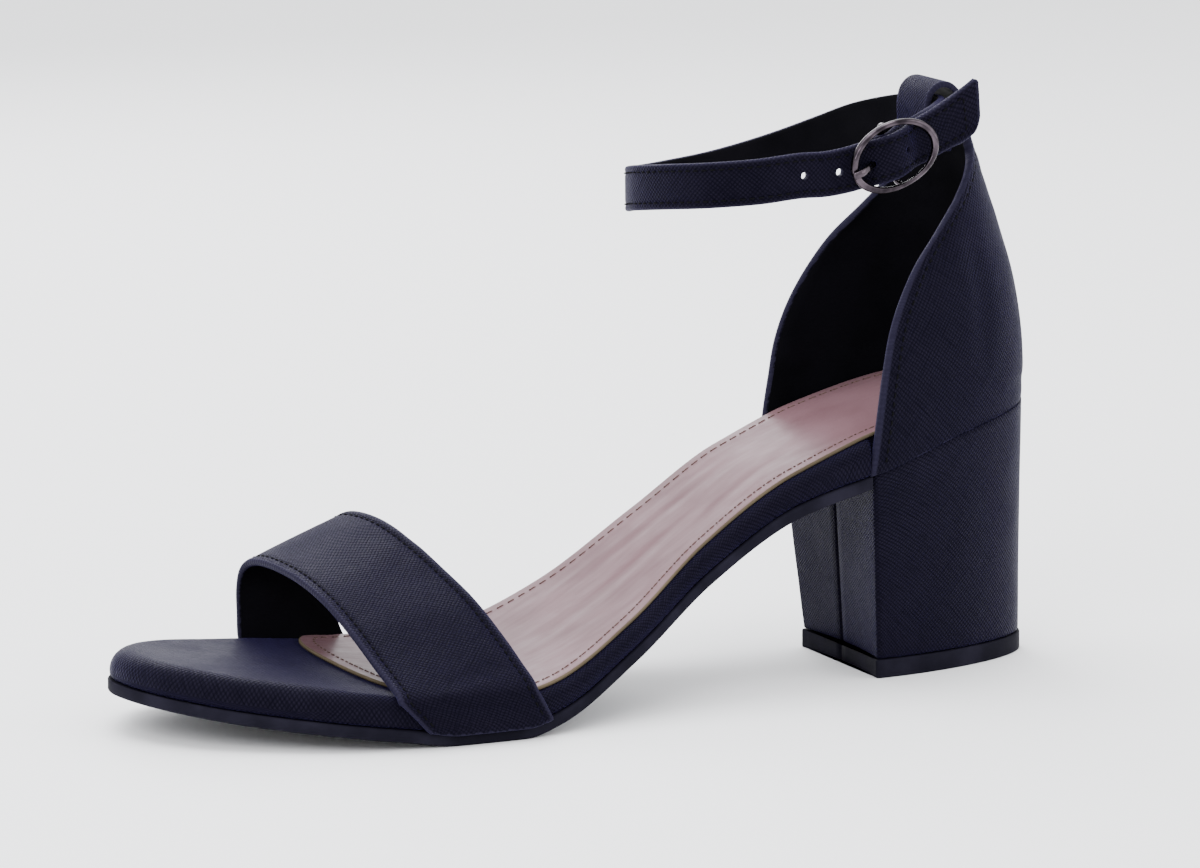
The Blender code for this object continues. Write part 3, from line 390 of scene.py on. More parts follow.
class Paint:
    """Adds and joins the shader nodes of one material."""

    def __init__(self, name: str) -> None:
        """Start a material with an empty Principled shader.

        Args:
            name: the material's name.
        """
        self.material = bpy.data.materials.new(name)
        self.material.use_nodes = True
        self.tree = self.material.node_tree
        self.shader = self.tree.nodes["Principled BSDF"]

    def join(self, value: object, socket: bpy.types.NodeSocket) -> None:
        """Set a socket from a number, a tuple or another node's output.

        Args:
            value: what the socket gets.
            socket: the socket.
        """
        if isinstance(value, bpy.types.NodeSocket):
            self.tree.links.new(value, socket)
        else:
            socket.default_value = value

    def math(self, operation: str, first: object, second: object = 0.0) -> object:
        """Math node of one operation on two values.

        Args:
            operation: Blender's name of the operation.
            first: first value.
            second: second value.

        Returns:
            The node's output.
        """
        node = self.tree.nodes.new("ShaderNodeMath")
        node.operation = operation
        self.join(first, node.inputs[0])
        self.join(second, node.inputs[1])
        return node.outputs[0]

    def uv(self) -> tuple[object, object]:
        """The piece's own surface coordinates in millimetres.

        Returns:
            The first and the second coordinate.
        """
        source = self.tree.nodes.new("ShaderNodeUVMap")
        source.uv_map = "surface"
        split = self.tree.nodes.new("ShaderNodeSeparateXYZ")
        self.tree.links.new(source.outputs[0], split.inputs[0])
        return split.outputs[0], split.outputs[1]

    def edge(self) -> object:
        """Distance to the nearest cut or folded edge, in millimetres.

        Returns:
            The distance's output.
        """
        node = self.tree.nodes.new("ShaderNodeAttribute")
        node.attribute_name = "edge_mm"
        return node.outputs["Fac"]

    def noise(
        self, scale: float, detail: float = 3.0, stretch: tuple[float, float, float] = (1, 1, 1)
    ) -> object:
        """Noise on object coordinates, about one at its brightest and zero at its darkest.

        Args:
            scale: cells per metre.
            detail: how many finer layers it has.
            stretch: scale along each axis.

        Returns:
            The noise's output.
        """
        place = self.tree.nodes.new("ShaderNodeTexCoord")
        mapping = self.tree.nodes.new("ShaderNodeMapping")
        mapping.inputs["Scale"].default_value = stretch
        node = self.tree.nodes.new("ShaderNodeTexNoise")
        node.inputs["Scale"].default_value = scale
        node.inputs["Detail"].default_value = detail
        self.tree.links.new(place.outputs["Object"], mapping.inputs["Vector"])
        self.tree.links.new(mapping.outputs[0], node.inputs["Vector"])
        return node.outputs["Fac"]

    def streak(self, along: object, across: object) -> object:
        """Long fine hairlines: noise read far closer across the line than along it.

        Args:
            along: place along the hairlines.
            across: place across them.

        Returns:
            The noise's output.
        """
        place = self.tree.nodes.new("ShaderNodeCombineXYZ")
        self.join(self.math("MULTIPLY", along, 0.10), place.inputs[0])
        self.join(self.math("MULTIPLY", across, 2.6), place.inputs[1])
        node = self.tree.nodes.new("ShaderNodeTexNoise")
        node.inputs["Scale"].default_value = 1.0
        node.inputs["Detail"].default_value = 3.0
        self.tree.links.new(place.outputs[0], node.inputs["Vector"])
        return node.outputs["Fac"]

    def ramp(
        self, value: object, low: float, high: float, out_low: float = 0.0, out_high: float = 1.0
    ) -> object:
        """Straight ramp with smooth ends from one range to another.

        Args:
            value: what is ramped.
            low: start of its range.
            high: end of its range.
            out_low: result at the start.
            out_high: result at the end.

        Returns:
            The ramp's output.
        """
        node = self.tree.nodes.new("ShaderNodeMapRange")
        node.interpolation_type = "SMOOTHSTEP"
        self.join(value, node.inputs["Value"])
        limits = {"From Min": low, "From Max": high, "To Min": out_low, "To Max": out_high}
        for name, number in limits.items():
            node.inputs[name].default_value = number
        return node.outputs["Result"]

    def mix(self, share: object, first: object, second: object) -> object:
        """Mix of two colours.

        Args:
            share: how much of the second.
            first: first colour.
            second: second colour.

        Returns:
            The mixed colour.
        """
        node = self.tree.nodes.new("ShaderNodeMix")
        node.data_type = "RGBA"
        self.join(share, node.inputs["Factor"])
        self.join(first, node.inputs[6])
        self.join(second, node.inputs[7])
        return node.outputs[2]

    def bump(self, height: object, depth: float, before: object | None = None) -> object:
        """Bump of a height between 0 and 1, over a depth in metres.

        Args:
            height: the height.
            depth: what a height of 1 stands for.
            before: a bump that this one is added to.

        Returns:
            The bent normal.
        """
        node = self.tree.nodes.new("ShaderNodeBump")
        node.inputs["Distance"].default_value = depth
        self.join(height, node.inputs["Height"])
        if before is not None:
            self.join(before, node.inputs["Normal"])
        return node.outputs[0]

    def set(self, **values: object) -> "Paint":
        """Set shader inputs by name, with underscores for spaces.

        Args:
            values: number, colour or node output of each input.

        Returns:
            This object.
        """
        for name, value in values.items():
            self.join(value, self.shader.inputs[name.replace("_", " ")])
        return self


def rgb(red: float, green: float, blue: float) -> tuple[float, float, float, float]:
    """Colour with full cover."""
    return (red, green, blue, 1.0)


@dataclass(frozen=True)
class HatchLeather:
    """Coated leather with a fine diagonal crosshatch pressed into it."""

    name: str
    # valley_shade is painted shade: the darker colour of the grain's hollows.
    valley_shade: tuple[float, float, float, float] = rgb(0.0010, 0.0009, 0.0019)
    ridge: tuple[float, float, float, float] = rgb(0.0076, 0.0064, 0.0116)
    # edge_highlight is a painted highlight: a lighter colour near cut and folded edges.
    edge_highlight: tuple[float, float, float, float] = rgb(0.017, 0.015, 0.029)
    pitch: float = 0.80
    turn: float = 45.0
    depth: float = 0.00018
    roughness: float = 0.46

    def build(self) -> bpy.types.Material:
        """Two crossed sets of rounded ridges, thinned by fine hairlines, over a slow swell.

        The height is the product of both sets' absolute sines, each to the power of 0.6.

        Returns:
            The material.
        """
        paint = Paint(self.name)
        u, v = paint.uv()
        drift = paint.math("MULTIPLY", paint.noise(420.0, 2.0), 0.55)
        cos, sin = math.cos(math.radians(self.turn)), math.sin(math.radians(self.turn))
        along = paint.math("ADD", paint.math("MULTIPLY", u, cos), paint.math("MULTIPLY", v, sin))
        across = paint.math("SUBTRACT", paint.math("MULTIPLY", v, cos), paint.math("MULTIPLY", u, sin))
        ridges = []
        for line in (along, across):
            wave = paint.math("MULTIPLY", paint.math("ADD", line, drift), math.pi / self.pitch)
            ridges.append(paint.math("POWER", paint.math("ABSOLUTE", paint.math("SINE", wave)), 0.6))
        lines = paint.math("MAXIMUM", paint.streak(along, across), paint.streak(across, along))
        hair = paint.ramp(lines, 0.52, 0.74, 1.0, 0.25)
        weave = paint.math("MULTIPLY", paint.math("MULTIPLY", ridges[0], ridges[1]), hair)
        patch = paint.noise(60.0, 4.0)
        lift = paint.math("MULTIPLY", weave, paint.ramp(patch, 0.25, 0.75, 0.62, 1.0))
        # The crosshatch valleys take a darker colour than its ridges: painted shade in the grain's hollows.
        base = paint.mix(lift, self.valley_shade, self.ridge)
        # Near cut and folded edges the colour turns lighter: a painted highlight along the rims.
        edge = paint.ramp(paint.edge(), 0.15, 0.85, 0.55, 0.0)
        colour = paint.mix(edge, base, self.edge_highlight)
        fine = paint.noise(2600.0, 2.0)
        swell = paint.bump(paint.noise(95.0, 2.0), 0.00022)
        normal = paint.bump(weave, self.depth, paint.bump(fine, 0.00001, swell))
        rough = paint.ramp(patch, 0.2, 0.8, self.roughness - 0.06, self.roughness + 0.07)
        paint.set(Base_Color=colour, Roughness=rough, Normal=normal, Specular_IOR_Level=0.30, IOR=1.12)
        paint.set(Sheen_Weight=0.055, Sheen_Roughness=0.42)
        paint.set(Sheen_Tint=rgb(0.34, 0.28, 1.0), Specular_Tint=rgb(0.50, 0.46, 1.0))
        return paint.material


@dataclass(frozen=True)
class PlainLeather:
    """Smooth lining, sock or cut edge with a faint grain and slow shading."""

    name: str
    dark: tuple[float, float, float, float]
    light: tuple[float, float, float, float]
    roughness: float = 0.5
    grain: float = 0.00002
    crease: float = 0.0
    coat: float = 0.0
    gloss: float = 0.10

    def build(self) -> bpy.types.Material:
        """Colour drifts between two tones; a fine noise gives the grain, a stretched one the creases.

        Returns:
            The material.
        """
        paint = Paint(self.name)
        patch = paint.noise(45.0, 4.0)
        colour = paint.mix(paint.ramp(patch, 0.3, 0.7), self.dark, self.light)
        normal = paint.bump(paint.noise(1500.0, 3.0), self.grain)
        if self.crease > 0:
            normal = paint.bump(paint.noise(38.0, 3.0, (0.5, 1.6, 0.5)), self.crease, normal)
        rough = paint.ramp(paint.noise(160.0, 3.0), 0.3, 0.7, self.roughness - 0.05, self.roughness + 0.05)
        paint.set(Base_Color=colour, Roughness=rough, Normal=normal, Coat_Weight=self.coat)
        paint.set(Coat_Roughness=0.3, Specular_IOR_Level=self.gloss, IOR=1.22)
        return paint.material


@dataclass(frozen=True)
class SheetRubber:
    """Matte sheet rubber with a fine buffed grain."""

    name: str
    dark: tuple[float, float, float, float] = rgb(0.0050, 0.0046, 0.0082)
    light: tuple[float, float, float, float] = rgb(0.0115, 0.0105, 0.0175)
    roughness: float = 0.62

    def build(self) -> bpy.types.Material:
        """Two noises, one coarse for patches and one fine for the buffed grain.

        Returns:
            The material.
        """
        paint = Paint(self.name)
        patch = paint.noise(90.0, 5.0)
        colour = paint.mix(paint.ramp(patch, 0.35, 0.75), self.dark, self.light)
        normal = paint.bump(paint.noise(1900.0, 4.0), 0.00004, paint.bump(paint.noise(230.0, 3.0), 0.0001))
        rough = paint.ramp(patch, 0.2, 0.8, self.roughness - 0.07, self.roughness + 0.1)
        paint.set(Base_Color=colour, Roughness=rough, Normal=normal, Specular_IOR_Level=0.10, IOR=1.2)
        return paint.material


@dataclass(frozen=True)
class DarkNickel:
    """Polished plated wire with a warm grey tone."""

    name: str
    dark: tuple[float, float, float, float] = rgb(0.016, 0.013, 0.016)
    light: tuple[float, float, float, float] = rgb(0.080, 0.064, 0.076)

    def build(self) -> bpy.types.Material:
        """Tone and gloss drift slowly, with a very fine polishing grain.

        Returns:
            The material.
        """
        paint = Paint(self.name)
        patch = paint.noise(240.0, 3.0)
        colour = paint.mix(paint.ramp(patch, 0.3, 0.7), self.dark, self.light)
        rough = paint.ramp(paint.noise(900.0, 3.0), 0.3, 0.7, 0.10, 0.20)
        paint.set(Base_Color=colour, Roughness=rough, Normal=paint.bump(paint.noise(1200.0, 2.0), 0.000012))
        paint.set(Metallic=1.0)
        return paint.material


@dataclass(frozen=True)
class Thread:
    """Sewing thread with its twist."""

    name: str
    dark: tuple[float, float, float, float]
    light: tuple[float, float, float, float]

    def build(self) -> bpy.types.Material:
        """Slanting bands along the thread give the twist.

        Returns:
            The material.
        """
        paint = Paint(self.name)
        u, v = paint.uv()
        band = paint.math("SINE", paint.math("MULTIPLY", paint.math("ADD", u, v), 16.0))
        share = paint.math("MULTIPLY_ADD", band, 0.5)
        share.node.inputs[2].default_value = 0.5
        paint.set(Base_Color=paint.mix(share, self.dark, self.light), Roughness=0.75, Specular_IOR_Level=0.06)
        paint.set(Normal=paint.bump(share, 0.00003))
        return paint.material


@dataclass
class Finishes:
    """All finishes of the sandal, each built once."""

    hatch: bpy.types.Material
    hatch_sole: bpy.types.Material
    lining: bpy.types.Material
    fold: bpy.types.Material
    sock: bpy.types.Material
    sock_edge: bpy.types.Material
    outsole: bpy.types.Material
    lift: bpy.types.Material
    metal: bpy.types.Material
    thread: bpy.types.Material
    sock_thread: bpy.types.Material
    pinhole: bpy.types.Material

    @classmethod
    def make(cls) -> "Finishes":
        """Build every finish.

        Returns:
            The finishes.
        """
        return cls(
            hatch=HatchLeather("Hatch leather").build(),
            hatch_sole=HatchLeather("Hatch leather, sole wrap", roughness=0.43).build(),
            lining=PlainLeather(
                "Black lining", rgb(0.0012, 0.0012, 0.0018), rgb(0.0030, 0.0028, 0.0042), 0.62, 0.00003
            ).build(),
            # The folded edge's lighter ridge colour is a painted highlight on the rounded rims.
            fold=HatchLeather(
                "Hatch leather, folded edge", ridge=rgb(0.0095, 0.0088, 0.0150), depth=0.00005
            ).build(),
            sock=PlainLeather(
                "Sock lining", rgb(0.112, 0.060, 0.068), rgb(0.144, 0.081, 0.092),
                roughness=0.33, grain=0.000012, crease=0.0009, coat=0.06,
            ).build(),
            sock_edge=PlainLeather(
                "Sock cut edge", rgb(0.060, 0.047, 0.030), rgb(0.095, 0.075, 0.048), 0.7
            ).build(),
            outsole=SheetRubber("Outsole rubber").build(),
            lift=SheetRubber("Top lift rubber", roughness=0.55).build(),
            metal=DarkNickel("Dark nickel").build(),
            thread=Thread("Black thread", rgb(0.0008, 0.0008, 0.0012), rgb(0.0022, 0.0022, 0.0030)).build(),
            sock_thread=Thread("Sock thread", rgb(0.075, 0.046, 0.038), rgb(0.115, 0.076, 0.064)).build(),
            # Colour of the needle holes: painted shade standing in for the holes.
            pinhole=PlainLeather(
                "Needle hole", rgb(0.045, 0.028, 0.022), rgb(0.065, 0.042, 0.034), 0.8
            ).build(),
        )


class Skin:
    """Gathers grids of points into one closed mesh, welded where the grids meet."""

    def __init__(self) -> None:
        """Start with no points."""
        self.points: list[Array] = []
        self.faces: list[Array] = []
        self.uvs: list[Array] = []
        self.edges: list[Array] = []
        self.kinds: list[Array] = []
        self.count = 0

    def add(
        self, points: Array, uv: Array | None = None, edge: Array | None = None, kind: Face = Face.SHOW
    ) -> None:
        """Add one grid, or a stack of grids, of rows and columns.

        Args:
            points: the grid, with rows, columns and coordinates as its last three axes.
            uv: surface coordinates in millimetres for each point.
            edge: distance to the nearest edge in millimetres for each point.
            kind: which finish the faces take.
        """
        grids = np.asarray(points, float).reshape(-1, *np.shape(points)[-3:])
        number, rows, columns = grids.shape[:3]
        index = self.count + np.arange(number * rows * columns).reshape(number, rows, columns)
        corners = [index[:, :-1, :-1], index[:, :-1, 1:], index[:, 1:, 1:], index[:, 1:, :-1]]
        faces = np.stack(corners, axis=-1).reshape(-1, 4)
        size = number * rows * columns
        self.points.append(grids.reshape(-1, 3))
        self.faces.append(faces)
        uv = np.zeros(2) if uv is None else uv
        edge = FAR_FROM_EDGE if edge is None else edge
        self.uvs.append(np.broadcast_to(uv, grids.shape[:3] + (2,)).reshape(-1, 2))
        self.edges.append(np.broadcast_to(edge, grids.shape[:3]).reshape(-1))
        self.kinds.append(np.full(len(faces), kind.value))
        self.count += size

    def build(self, name: str, materials: list[bpy.types.Material], weld: float = 2e-7) -> bpy.types.Object:
        """Weld the grids, turn the faces outwards and make the object.

        Args:
            name: the object's name.
            materials: the finishes, in the order of Face.
            weld: points closer than this are merged.

        Returns:
            The new object, placed in the row's frame.
        """
        mesh = bpy.data.meshes.new(name)
        faces = np.concatenate(self.faces)
        mesh.from_pydata(np.concatenate(self.points) - CENTRE_SHIFT, [], faces)
        layer = mesh.uv_layers.new(name="surface")
        layer.data.foreach_set("uv", np.concatenate(self.uvs)[faces.reshape(-1)].reshape(-1))
        attribute = mesh.attributes.new("edge_mm", "FLOAT", "POINT")
        attribute.data.foreach_set("value", np.concatenate(self.edges))
        mesh.polygons.foreach_set("material_index", np.concatenate(self.kinds).astype(np.int32))
        for finish in materials:
            mesh.materials.append(finish)
        work = bmesh.new()
        work.from_mesh(mesh)
        bmesh.ops.remove_doubles(work, verts=work.verts, dist=weld)
        bmesh.ops.dissolve_degenerate(work, edges=work.edges, dist=weld)
        bmesh.ops.recalc_face_normals(work, faces=work.faces)
        if work.calc_volume(signed=True) < 0:
            bmesh.ops.reverse_faces(work, faces=work.faces)
        work.to_mesh(mesh)
        work.free()
        mesh.shade_smooth()
        piece = bpy.data.objects.new(name, mesh)
        bpy.context.scene.collection.objects.link(piece)
        return piece


def show(piece: bpy.types.Object, slot: str, *nodes: str) -> bpy.types.Object:
    """Let a piece ride on the shoe, and hide the solids that it stands for.

    Args:
        piece: the finished piece.
        slot: its material slot; not used.
        nodes: solids that it replaces.

    Returns:
        The same piece.
    """
    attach(piece, "root")
    if nodes:
        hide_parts(*nodes)
    LOG.info("%s: %d faces", piece.name, len(piece.data.polygons))
    return piece


def outline_loop(xs: Array, outer: Array, inner: Array) -> Array:
    """Closed plan loop from the front pole along the outer side, and back along the inner side."""
    return np.concatenate([np.stack([xs, -outer], axis=1), np.stack([xs, inner], axis=1)[-2:0:-1]])


def inset_loop(loop: Array, amount: Array | float) -> Array:
    """Move each point of a plan loop along its inward normal by its own amount.

    Args:
        loop: plan points in order.
        amount: how far each moves, or all of them.

    Returns:
        The moved points.
    """
    along = unit(np.roll(loop, -1, axis=0) - np.roll(loop, 1, axis=0))
    inward = np.stack([-along[:, 1], along[:, 0]], axis=1)
    return loop + inward * np.broadcast_to(amount, len(loop))[:, None]


def stations(first: float, last: float, count: int) -> Array:
    """Places along a length, closer together at its ends, as a cosine spaces them."""
    return first + (last - first) * (1 - np.cos(np.linspace(0.0, math.pi, count))) / 2


def slab(
    skin: Skin, loops: Array, columns: int, bottom: object, top: object, kinds: tuple[Face, Face, Face],
    straight: tuple[int, int] = (0, 0),
) -> None:
    """Closed solid from stacked plan loops, with straight rows across its bottom and top.

    Args:
        skin: takes the grids.
        loops: plan loops from the bottom to the top, each from the front pole round the outer side.
        columns: faces in each row across.
        bottom: height of the bottom as a function of x and y, or None where it is flat.
        top: the same for the top.
        kinds: finish of the sides, the bottom and the top.
        straight: points on each side of the front and the rear pole that lie on a straight edge.
    """
    levels, count = loops.shape[:2]
    closed = np.concatenate([loops, loops[:, :1]], axis=1)
    around = walk(closed[levels // 2])
    girth = np.concatenate([[0.0], np.cumsum(np.linalg.norm(np.diff(loops, axis=0), axis=2).mean(axis=1))])
    uv = np.stack(np.broadcast_arrays(around[None, :], girth[:, None]), axis=2) / MM
    skin.add(closed, uv, kind=kinds[0])
    front, rear = straight
    half = count // 2
    rows = np.arange(front, half - rear + 1)
    share = np.linspace(0.0, 1.0, columns + 1)
    for level, height, kind in ((0, bottom, kinds[1]), (levels - 1, top, kinds[2])):
        rim = loops[level]
        left, right = rim[rows], rim[(count - rows) % count]
        face = left[:, None] + (right - left)[:, None] * share[None, :, None]
        if height is not None:
            face[:, 1:-1, 2] = height(face[:, 1:-1, 0], face[:, 1:-1, 1])
        if front:
            face[0] = rim[np.arange(front, -front - 1, -1) % count]
        if rear:
            face[-1] = rim[np.arange(half - rear, half + rear + 1)]
        middle = face[:, columns // 2]
        lengthwise = np.broadcast_to(walk(middle)[:, None], face.shape[:2])
        skin.add(face, np.stack([lengthwise, face[..., 1]], axis=2) / MM, kind=kind)


def wall(
    skin: Skin, outer: Array, thickness: Array | float, edge: Array,
    relief: Array | float = 0.0, bulge: float = 0.3,
) -> Array:
    """Closed wall from a grid of outer points, with its free edges rounded.

    The inner face is the outer one moved back along its normals. The edge runs round the grid's border
    as half an oval: middle plus cosine of the turn through the wall plus sine of the turn outwards.

    Args:
        skin: takes the grids.
        outer: the outer face.
        thickness: wall thickness of each row.
        edge: distance to the nearest free edge of each point, in millimetres.
        relief: how far each outer point is raised.
        bulge: how far the rounded edge stands out, as a share of the wall.

    Returns:
        The raised outer face.
    """
    normals = grid_normals(outer)
    thick = np.broadcast_to(np.asarray(thickness, float), len(outer))[:, None, None]
    raised = outer + normals * np.broadcast_to(relief, outer.shape[:2])[..., None]
    inner = outer - normals * thick
    u = np.stack([walk(row) for row in outer])
    u = u - u[:, u.shape[1] // 2][:, None]
    v = np.broadcast_to(walk(outer[:, outer.shape[1] // 2])[:, None], u.shape)
    uv = np.stack([u, v], axis=2) / MM
    skin.add(raised, uv, edge, Face.SHOW)
    skin.add(inner, uv, None, Face.BACK)
    rows, columns = outer.shape[:2]
    row = np.concatenate([
        np.zeros(columns, int), np.arange(1, rows),
        np.full(columns - 1, rows - 1), np.arange(rows - 2, -1, -1),
    ])
    across = np.concatenate([
        np.arange(columns), np.full(rows - 1, columns - 1),
        np.arange(columns - 2, -1, -1), np.zeros(rows - 1, int),
    ])
    near = outer[np.clip(row, 1, rows - 2), np.clip(across, 1, columns - 2)]
    away = unit(outer[row, across] - near)
    out_points, in_points = raised[row, across], inner[row, across]
    middle, half = (out_points + in_points) / 2, (out_points - in_points) / 2
    reach = np.linalg.norm(half, axis=1, keepdims=True) * 2 * bulge
    turns = np.linspace(0.0, math.pi, 7)[:, None, None]
    rim = middle[None] + half[None] * np.cos(turns) + (away * reach)[None] * np.sin(turns)
    rim[0], rim[-1] = out_points, in_points
    rim_uv = np.broadcast_to(uv[row, across][None], rim.shape[:2] + (2,))
    skin.add(rim, rim_uv, np.zeros(rim.shape[:2]), Face.RIM)
    return raised


def sweep_frames(path: Array, ups: Array, closed: bool = False) -> tuple[Array, Array]:
    """Side and up directions along a path, the up one as near as possible to the given one.

    Args:
        path: middle line.
        ups: wanted up direction of each point.
        closed: whether the path is a ring.

    Returns:
        The side and the up directions.
    """
    tangent = np.roll(path, -1, axis=0) - np.roll(path, 1, axis=0) if closed else np.gradient(path, axis=0)
    tangent = unit(tangent)
    side = unit(np.cross(tangent, ups))
    return side, np.cross(side, tangent)


def rod(
    skin: Skin, path: Array, ups: Array, radii: Array,
    sides: int = 20, closed: bool = False, power: float = 2.0,
) -> None:
    """Round or rounded-square bar along a path, with domed ends where it isn't closed.

    The section is a superellipse: cosine and sine of the turn, each bent by two over the power.

    Args:
        skin: takes the grid.
        path: middle line.
        ups: direction that the second radius follows.
        radii: side and up radius of each point.
        sides: points round the bar.
        closed: whether the path is a ring.
        power: 2 for an oval, more for a squarer section.
    """
    side, up = sweep_frames(path, ups, closed)
    turn = np.linspace(0.0, 2 * math.pi, sides + 1)
    turn[-1] = 0.0
    cos, sin = np.cos(turn), np.sin(turn)
    shape = np.stack([
        np.sign(cos) * np.abs(cos) ** (2 / power), np.sign(sin) * np.abs(sin) ** (2 / power)
    ], axis=1)
    radii = np.broadcast_to(radii, (len(path), 2)).copy()
    if not closed:
        dome = np.sin(np.linspace(0.0, math.pi / 2, 6))[:-1]
        back = 1 - np.cos(np.linspace(0.0, math.pi / 2, 6))[:-1]
        heads = []
        for end, inner in ((0, 1), (-1, -2)):
            out = unit(path[end] - path[inner])
            heads.append(path[end] + out * radii[end].mean() * (0.8 * (1 - back))[:, None])
        path = np.concatenate([heads[0], path, heads[1][::-1]])
        side = np.concatenate([np.repeat(side[:1], 5, axis=0), side, np.repeat(side[-1:], 5, axis=0)])
        up = np.concatenate([np.repeat(up[:1], 5, axis=0), up, np.repeat(up[-1:], 5, axis=0)])
        radii = np.concatenate([radii[0] * dome[:, None], radii, radii[-1] * dome[::-1, None]])
    else:
        path, side, up, radii = (np.concatenate([a, a[:1]]) for a in (path, side, up, radii))
    points = (
        path[:, None]
        + side[:, None] * (shape[None, :, 0] * radii[:, None, 0])[..., None]
        + up[:, None] * (shape[None, :, 1] * radii[:, None, 1])[..., None]
    )
    girth = np.linspace(0, 6, sides + 1) * MM
    uv = np.stack(np.broadcast_arrays(walk(path)[:, None], girth[None]), axis=2) / MM
    skin.add(points, uv)


@dataclass
class Seam:
    """Machine stitches along a line on a surface."""

    pitch: float = 2.3 * MM
    length: float = 1.75 * MM
    radius: float = 0.24 * MM
    sink: float = 0.10 * MM

    def add(self, skin: Skin, path: Array, normals: Array) -> None:
        """Lay one stitch per pitch: a round thread that rises as a half circle and dips at both ends.

        Args:
            skin: takes the stitches.
            path: line of the seam on the surface.
            normals: outward direction of the surface at each point of the path.
        """
        walked = walk(path)
        count = max(int(walked[-1] / self.pitch), 1)
        middle = (np.arange(count) + 0.5) * walked[-1] / count
        way = np.linspace(-1.0, 1.0, 7)
        at = middle[:, None] + way[None] * self.length / 2
        places = read_path(path, at.reshape(-1), walked).reshape(count, 7, 3)
        normal = unit(read_path(normals, at.reshape(-1), walked)).reshape(count, 7, 3)
        tangent = unit(np.gradient(places, axis=1))
        side = np.cross(tangent, normal)
        arch = np.sqrt(np.clip(1 - way**2, 0.0, 1.0))
        places = places + normal * (arch * self.radius - self.sink - (1 - arch) * 0.1 * MM)[None, :, None]
        thick = np.maximum(np.sqrt(np.clip(1 - np.abs(way) ** 3, 0.0, 1.0)), 1e-4) * self.radius
        turn = np.linspace(0.0, 2 * math.pi, 9)
        turn[-1] = 0.0
        ring = (
            side[:, :, None] * np.cos(turn)[None, None, :, None]
            + normal[:, :, None] * np.sin(turn)[None, None, :, None]
        )
        points = places[:, :, None] + ring * thick[None, :, None, None]
        lengthwise = way[:, None] * self.length / 2
        uv = np.stack(np.broadcast_arrays(lengthwise, turn[None] * self.radius), axis=2) / MM
        skin.add(points, np.broadcast_to(uv[None], points.shape[:3] + (2,)))


SOCK_SEAM = Seam(pitch=3.0 * MM, length=2.1 * MM, radius=0.17 * MM, sink=0.09 * MM)
NEEDLE_HOLES = Seam(pitch=SOCK_SEAM.pitch, length=0.75 * MM, radius=0.26 * MM, sink=0.24 * MM)
BACK_SEAM = Seam(pitch=2.25 * MM, length=1.6 * MM, radius=0.24 * MM)
BAND_SEAM = Seam(pitch=2.3 * MM, length=1.7 * MM, radius=0.22 * MM)
STRAP_SEAM = Seam(pitch=2.25 * MM, length=1.6 * MM, radius=0.20 * MM, sink=0.08 * MM)
STRAP_END_SEAM = Seam(pitch=2.1 * MM, length=1.5 * MM, radius=0.20 * MM, sink=0.08 * MM)


@dataclass
class Last:
    """The form that the shoe is made over: outline, profile and heel seat."""

    length: float = 234.3 * MM
    toe_x: float = -117.9 * MM
    ball_width: float = 80.6 * MM
    seat_width: float = 52.6 * MM
    toe_spring: float = 9.4 * MM
    seat_rise: float = 62.2 * MM
    seat_front_x: float = 64.8 * MM
    seat_rear_x: float = 116.9 * MM
    sole: float = 3.0 * MM
    gap: float = 0.3 * MM
    board: float = 7.5 * MM

    def along_of(self, x: Array) -> Array:
        """Place along the footbed, 0 at the toe and 1 at the back."""
        return (np.asarray(x, float) - self.toe_x) / self.length

    def x_of(self, along: Array) -> Array:
        """Lengthwise coordinate of a place along the footbed."""
        return self.toe_x + np.asarray(along, float) * self.length

    def seat_half(self, x: Array) -> Array:
        """Half width of the heel seat, a superellipse quarter towards the back.

        Args:
            x: lengthwise places.

        Returns:
            Half width at each place.
        """
        depth = self.seat_rear_x - self.seat_front_x
        reach = np.clip((np.asarray(x, float) - self.seat_front_x) / depth, 0.0, 1.0)
        fullness = COUNTER[0][COUNTER_COLUMNS.index("fullness")]
        return self.seat_width / 2 * (1 - reach**fullness) ** (1 / fullness)

    def half_width(self, x: Array, side: Side) -> Array:
        """Half width of the footbed at x on one side, read over the cosine of the place along it.

        Args:
            x: lengthwise places.
            side: side of the shoe.

        Returns:
            Half width at each place.
        """
        x = np.asarray(x, float)
        widths = (
            column(OUTLINE, OUTLINE_COLUMNS, side.word + "_of_ball") * self.ball_width
            + column(OUTLINE, OUTLINE_COLUMNS, side.word + "_of_seat") * self.seat_width
        )
        turn = np.arccos(1 - 2 * column(OUTLINE, OUTLINE_COLUMNS, "along")) / math.pi
        here = np.arccos(1 - 2 * np.clip(self.along_of(x), 0.0, 1.0)) / math.pi
        return np.where(x < self.seat_front_x, through(turn, widths, here), self.seat_half(x))

    def underside(self, x: Array) -> Array:
        """Height of the footbed's underside.

        Args:
            x: lengthwise places.

        Returns:
            Height at each place.
        """
        rise = (
            column(PROFILE, PROFILE_COLUMNS, "of_toe_spring") * self.toe_spring
            + column(PROFILE, PROFILE_COLUMNS, "of_seat_rise") * self.seat_rise
        )
        along = column(PROFILE, PROFILE_COLUMNS, "along")
        return self.sole + self.gap + through(along, rise, self.along_of(x), keep_flat=True)

    def board_top(self, x: Array) -> Array:
        """Height of the footbed's upper face.

        Args:
            x: lengthwise places.

        Returns:
            Height at each place.
        """
        thickness = column(PROFILE, PROFILE_COLUMNS, "of_board_thickness") * self.board
        along = column(PROFILE, PROFILE_COLUMNS, "along")
        return self.underside(x) + through(along, thickness, self.along_of(x), keep_flat=True)


